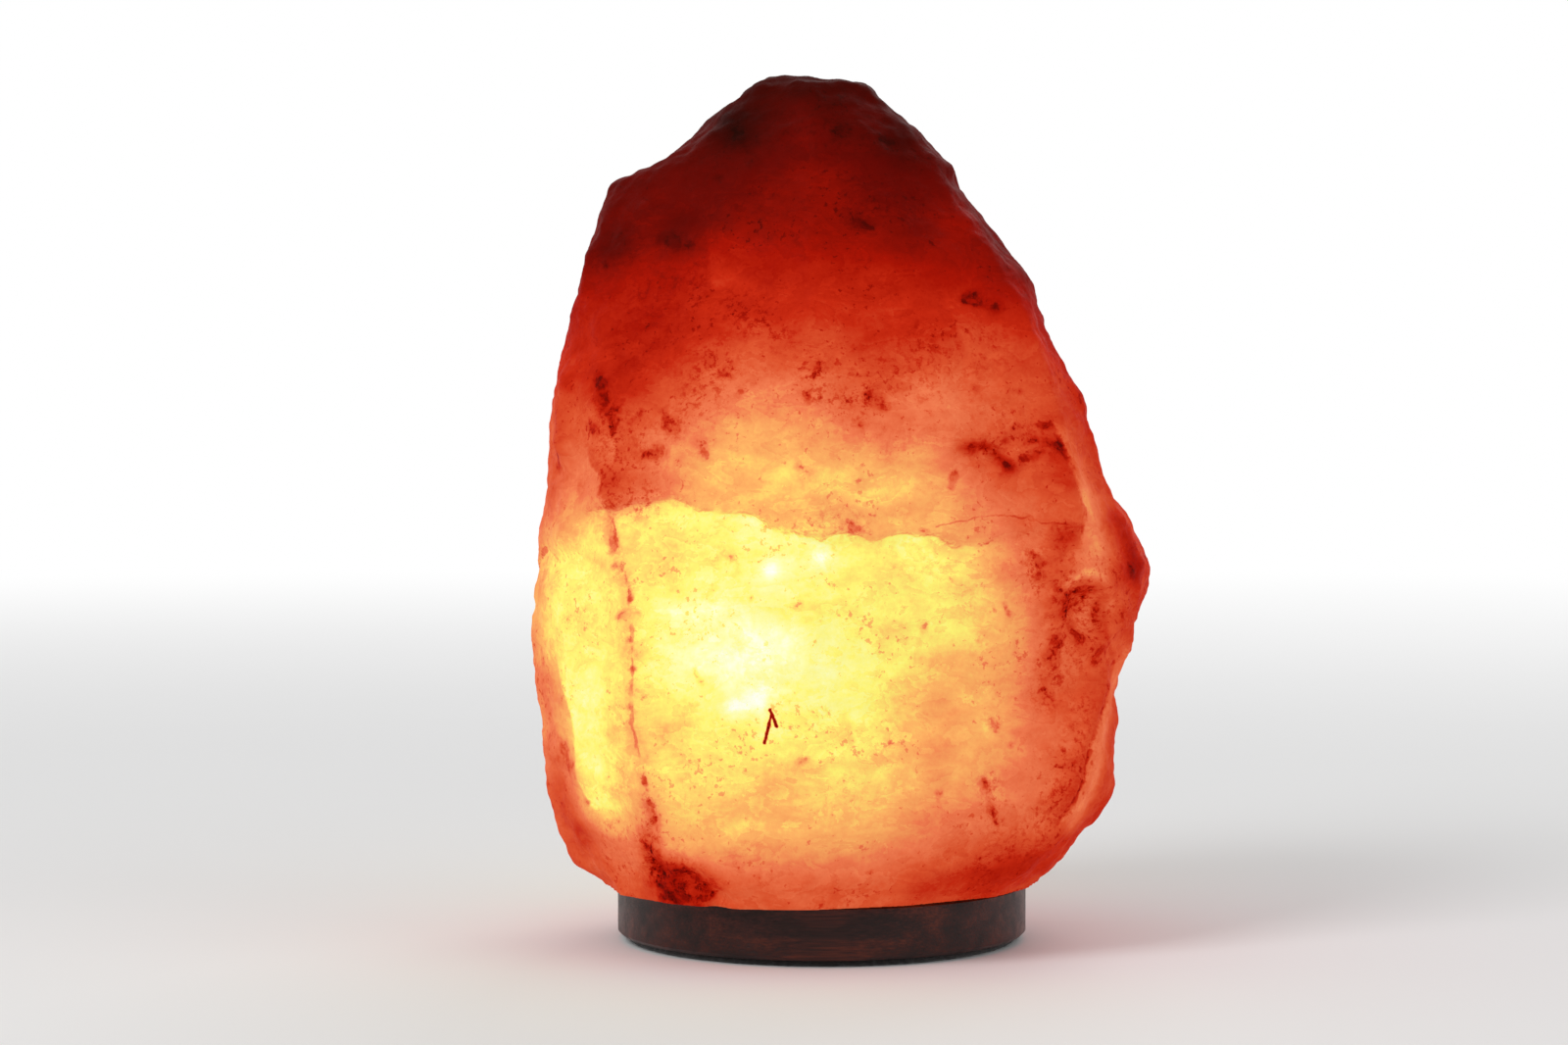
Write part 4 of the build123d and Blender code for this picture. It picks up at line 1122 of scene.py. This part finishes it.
def make_base_screws():
    low, high = box_mm("base_screws")
    bottom, top = low[2], high[2]
    seat = bottom + SCREW_HEAD

    def threaded(radius, height, angle):
        if radius != SCREW_SHANK_R or height < seat + 3:
            return radius
        depth = SCREW_SHANK_R - SCREW_ROOT_R
        return radius - depth * (1 - on_thread(height, angle, SCREW_PITCH) ** 2)

    profile = [(0, bottom), (2.0, bottom), (2.9, bottom + 0.25), (3.5, bottom + 0.8), (3.8, bottom + 1.6)]
    profile += [(3.8, seat), (SCREW_SHANK_R, seat), (SCREW_SHANK_R, seat + 2.6)]
    profile += [(SCREW_SHANK_R, z) for z in steps_between(seat + 3, top - 2.5, SCREW_PITCH / 7)]
    profile += [(0.9, top - 1.2), (0, top)]
    one = cut(lathe("screw", profile, 28, threaded, closed=False), cross_recess(bottom, RECESS_DEPTH))
    pattern = bmesh.new()
    for number in range(SCREW_COUNT):
        angle = math.radians(270 + 360 * number / SCREW_COUNT)
        before = len(pattern.verts)
        pattern.from_mesh(one.data)
        pattern.verts.ensure_lookup_table()
        place = Vector((SCREW_CIRCLE_R * math.cos(angle), SCREW_CIRCLE_R * math.sin(angle), 0)) * MM
        bmesh.ops.translate(pattern, verts=pattern.verts[before:], vec=place)
    mesh = bpy.data.meshes.new("base_screws_cut")
    pattern.to_mesh(mesh)
    pattern.free()
    bpy.data.objects.remove(one)
    piece = soft_edges(new_object("base_screws_cut", mesh), 40)
    plate = metal("zinc_plate", (168, 168, 164), 0.34)
    stands_for(piece, plate, "base_screws", "lamp_body")


def tube(name, path, radius, sides):
    """A round wire along points in millimetres, with closed ends."""
    path = [Vector(p) * MM for p in path]
    points, faces = [], []
    side = Vector((0, 1, 0))
    for number, place in enumerate(path):
        along = (path[min(number + 1, len(path) - 1)] - path[max(number - 1, 0)]).normalized()
        side = (side - along * side.dot(along)).normalized()
        up = along.cross(side)
        for step in range(sides):
            angle = 2 * math.pi * step / sides
            points.append(place + (side * math.cos(angle) + up * math.sin(angle)) * radius * MM)
    for below in range(0, (len(path) - 1) * sides, sides):
        above = below + sides
        for step in range(sides):
            after = (step + 1) % sides
            faces.append((below + step, below + after, above + after, above + step))
    faces.append(tuple(range(sides)))
    faces.append(tuple(range(len(points) - 1, len(points) - 1 - sides, -1)))
    return face_outward(mesh_object(name, points, faces))


def bulb_outline(top, inset):
    """Half of the bulb's section above its neck: a pear shape that ends in a round dome."""
    neck, widest = BULB_NECK_R - inset, BULB_R - inset
    points = []
    for z in steps_between(BULB_SHOULDER, BULB_WIDEST, 1.5):
        points.append((neck + (widest - neck) * ease(z, BULB_SHOULDER, BULB_WIDEST), z))
    dome = top - inset - BULB_WIDEST
    for angle in steps_between(0, math.pi / 2, math.pi / 32)[1:]:
        points.append((widest * math.cos(angle), BULB_WIDEST + dome * math.sin(angle)))
    return points


def make_bulb_glass():
    low, high = box_mm("bulb_glass")
    bottom, top = low[2], high[2]
    inside = bulb_outline(top, GLASS_WALL)[::-1] + [(BULB_NECK_R - GLASS_WALL, bottom + GLASS_RIM)]
    outside = [(BULB_NECK_R - GLASS_RIM, bottom), (BULB_NECK_R, bottom + GLASS_RIM)]
    profile = inside + outside + bulb_outline(top, 0)
    piece = soft_edges(lathe("bulb_glass_blown", profile, closed=False))
    glass = clear_glass()
    dressed(cad_nodes["glass_stem"], glass)
    stands_for(piece, glass, "bulb_glass", "bulb")


def glowing_tungsten():
    finish = Finish("glowing_tungsten", roughness=0.5, metallic=1.0)
    heat = finish.noise(4, detail=2)
    return finish.give(
        Base_Color=finish.ramp(heat, [(0.3, (120, 116, 110)), (0.7, (160, 156, 150))]),
        Emission_Color=finish.ramp(heat, [(0.3, (255, 176, 88)), (0.7, (255, 206, 130))]),
        Emission_Strength=FILAMENT_STRENGTH,
    )


def make_filament():
    """A finely coiled wire that rises from one lead and falls to the other."""
    low, high = box_mm("filament")
    room = COIL_R + COIL_WIRE_R
    half, rise, foot = high[0] - room, high[2] - low[2] - 2 * room, low[2] + room
    path = []
    for number in range(COIL_TURNS * COIL_STEPS + 1):
        share = number / (COIL_TURNS * COIL_STEPS)
        angle = 2 * math.pi * share * COIL_TURNS
        x = half * (2 * share - 1)
        z = foot + rise * min(1, 2 * (1 - abs(2 * share - 1)))
        path.append((x, COIL_R * math.cos(angle), z + COIL_R * math.sin(angle)))
    piece = smooth_shaded(tube("filament_coil", path, COIL_WIRE_R, 6))
    stands_for(piece, glowing_tungsten(), "filament", "bulb")


# --- Finishes of the lampholder and the bulb ------------------------------
BRASS = (196, 152, 82)


def metal(name, shade, roughness, along=(1, 1, 1)):
    """Plain or plated metal: faint tarnish, fine scratches and uneven gloss."""
    finish = Finish(name, metallic=1.0)
    tarnish = finish.noise(3.5, detail=4, rough=0.6)
    dim = [int(step * 0.78) for step in shade]
    scratches = finish.noise(0.35, detail=4, rough=0.6, where=finish.stretched(along))
    return finish.give(
        Base_Color=finish.ramp(tarnish, [(0.32, dim), (0.6, shade)]),
        Roughness=finish.total(finish.times(tarnish, 0.16), roughness - 0.08),
        Normal=finish.bump(scratches, 0.012, 0.6),
    )


def plastic(name, dark, light, roughness, grain=0.03):
    """Moulded plastic with a fine grain and slightly uneven gloss."""
    finish = Finish(name, specular=0.45)
    cloud = finish.noise(5, detail=3)
    return finish.give(
        Base_Color=finish.ramp(cloud, [(0.35, dark), (0.65, light)]),
        Roughness=finish.between(cloud, 0.3, 0.7, roughness - 0.05, roughness + 0.07),
        Normal=finish.bump(finish.noise(0.3, detail=3, rough=0.6), grain, 0.6),
    )


def flowing(finish, flow, dark, light, roughness, relief):
    """A finish whose colour, gloss and relief follow one noise."""
    return finish.give(
        Base_Color=finish.ramp(flow, [(0.3, dark), (0.7, light)]),
        Roughness=finish.between(flow, 0.3, 0.7, *roughness),
        Normal=finish.bump(flow, *relief),
    )


def porcelain():
    """White ceramic with a few darker specks."""
    finish = Finish("white_steatite", specular=0.5)
    body = finish.noise(2.5, detail=4)
    ware = finish.ramp(body, [(0.3, (214, 209, 198)), (0.7, (230, 226, 217))])
    specks = finish.between(finish.noise(0.5, detail=3, rough=0.7), 0.28, 0.33, 1, 0)
    return finish.give(
        Base_Color=finish.mix(finish.times(specks, 0.35), ware, colour(150, 138, 120)),
        Roughness=finish.between(body, 0.3, 0.7, 0.28, 0.42),
        Normal=finish.bump(body, 0.05, 0.5),
    )


def black_glass():
    finish = Finish("black_glass", specular=0.6)
    flow = finish.noise(1.6, detail=2, twist=0.8)
    return flowing(finish, flow, (8, 8, 11), (20, 20, 27), (0.06, 0.14), (0.05, 0.5))


def solder():
    finish = Finish("solder", metallic=1.0)
    grain = finish.noise(0.8, detail=4, rough=0.65)
    return flowing(finish, grain, (120, 121, 124), (172, 172, 174), (0.28, 0.5), (0.12, 0.7))


def clear_glass():
    """Thin clear glass with the faint waves of a blown bulb."""
    finish = Finish("bulb_glass")
    finish.give(IOR=1.2, Transmission_Weight=1.0)
    waves = finish.noise(9, detail=2)
    return flowing(finish, waves, (248, 249, 247), (254, 254, 253), (0.0, 0.025), (0.06, 0.3))


def dress_holder_and_bulb():
    """Finishes for the CAD pieces that keep their own shape."""
    black = plastic("black_thermoplastic", (14, 14, 15), (22, 22, 23), 0.42)
    brass = metal("brass_strip", BRASS, 0.3)
    spring = metal("spring_steel", (150, 152, 156), 0.28, along=(1, 1, 0.08))
    finishes = {
        "holder_cap": black, "holder_shell": black, "contact_carrier": porcelain(),
        "centre_contact": brass, "side_contact": brass,
        "terminal_screws": metal("steel_screws", (160, 160, 158), 0.34),
        "clip_band": spring, "clip_pins": metal("pin_steel", (170, 170, 172), 0.22),
        "spring_clip_left": spring, "spring_clip_right": spring,
        "wall_plugs": plastic("grey_nylon", (150, 151, 148), (166, 167, 163), 0.5, 0.05),
        "cap_insulator": black_glass(), "tip_contact": solder(),
        "lead_wires": metal("lead_wire", (176, 170, 160), 0.3),
    }
    for node, finish in finishes.items():
        dressed(cad_nodes[node], finish)


# --- Everything, in order -------------------------------------------------
make_camera()
make_world()
make_floor()
make_lamps()
stands_for(make_salt_shape(), salt_material(), "salt_crystal", "lamp_body")
dressed(cad_nodes["wooden_base"], wood_material())
make_felt_pad()
make_base_screws()
make_screw_shell()
make_bulb_cap()
make_bulb_glass()
make_filament()
dress_holder_and_bulb()

bpy.context.scene.view_settings.view_transform = "Standard"
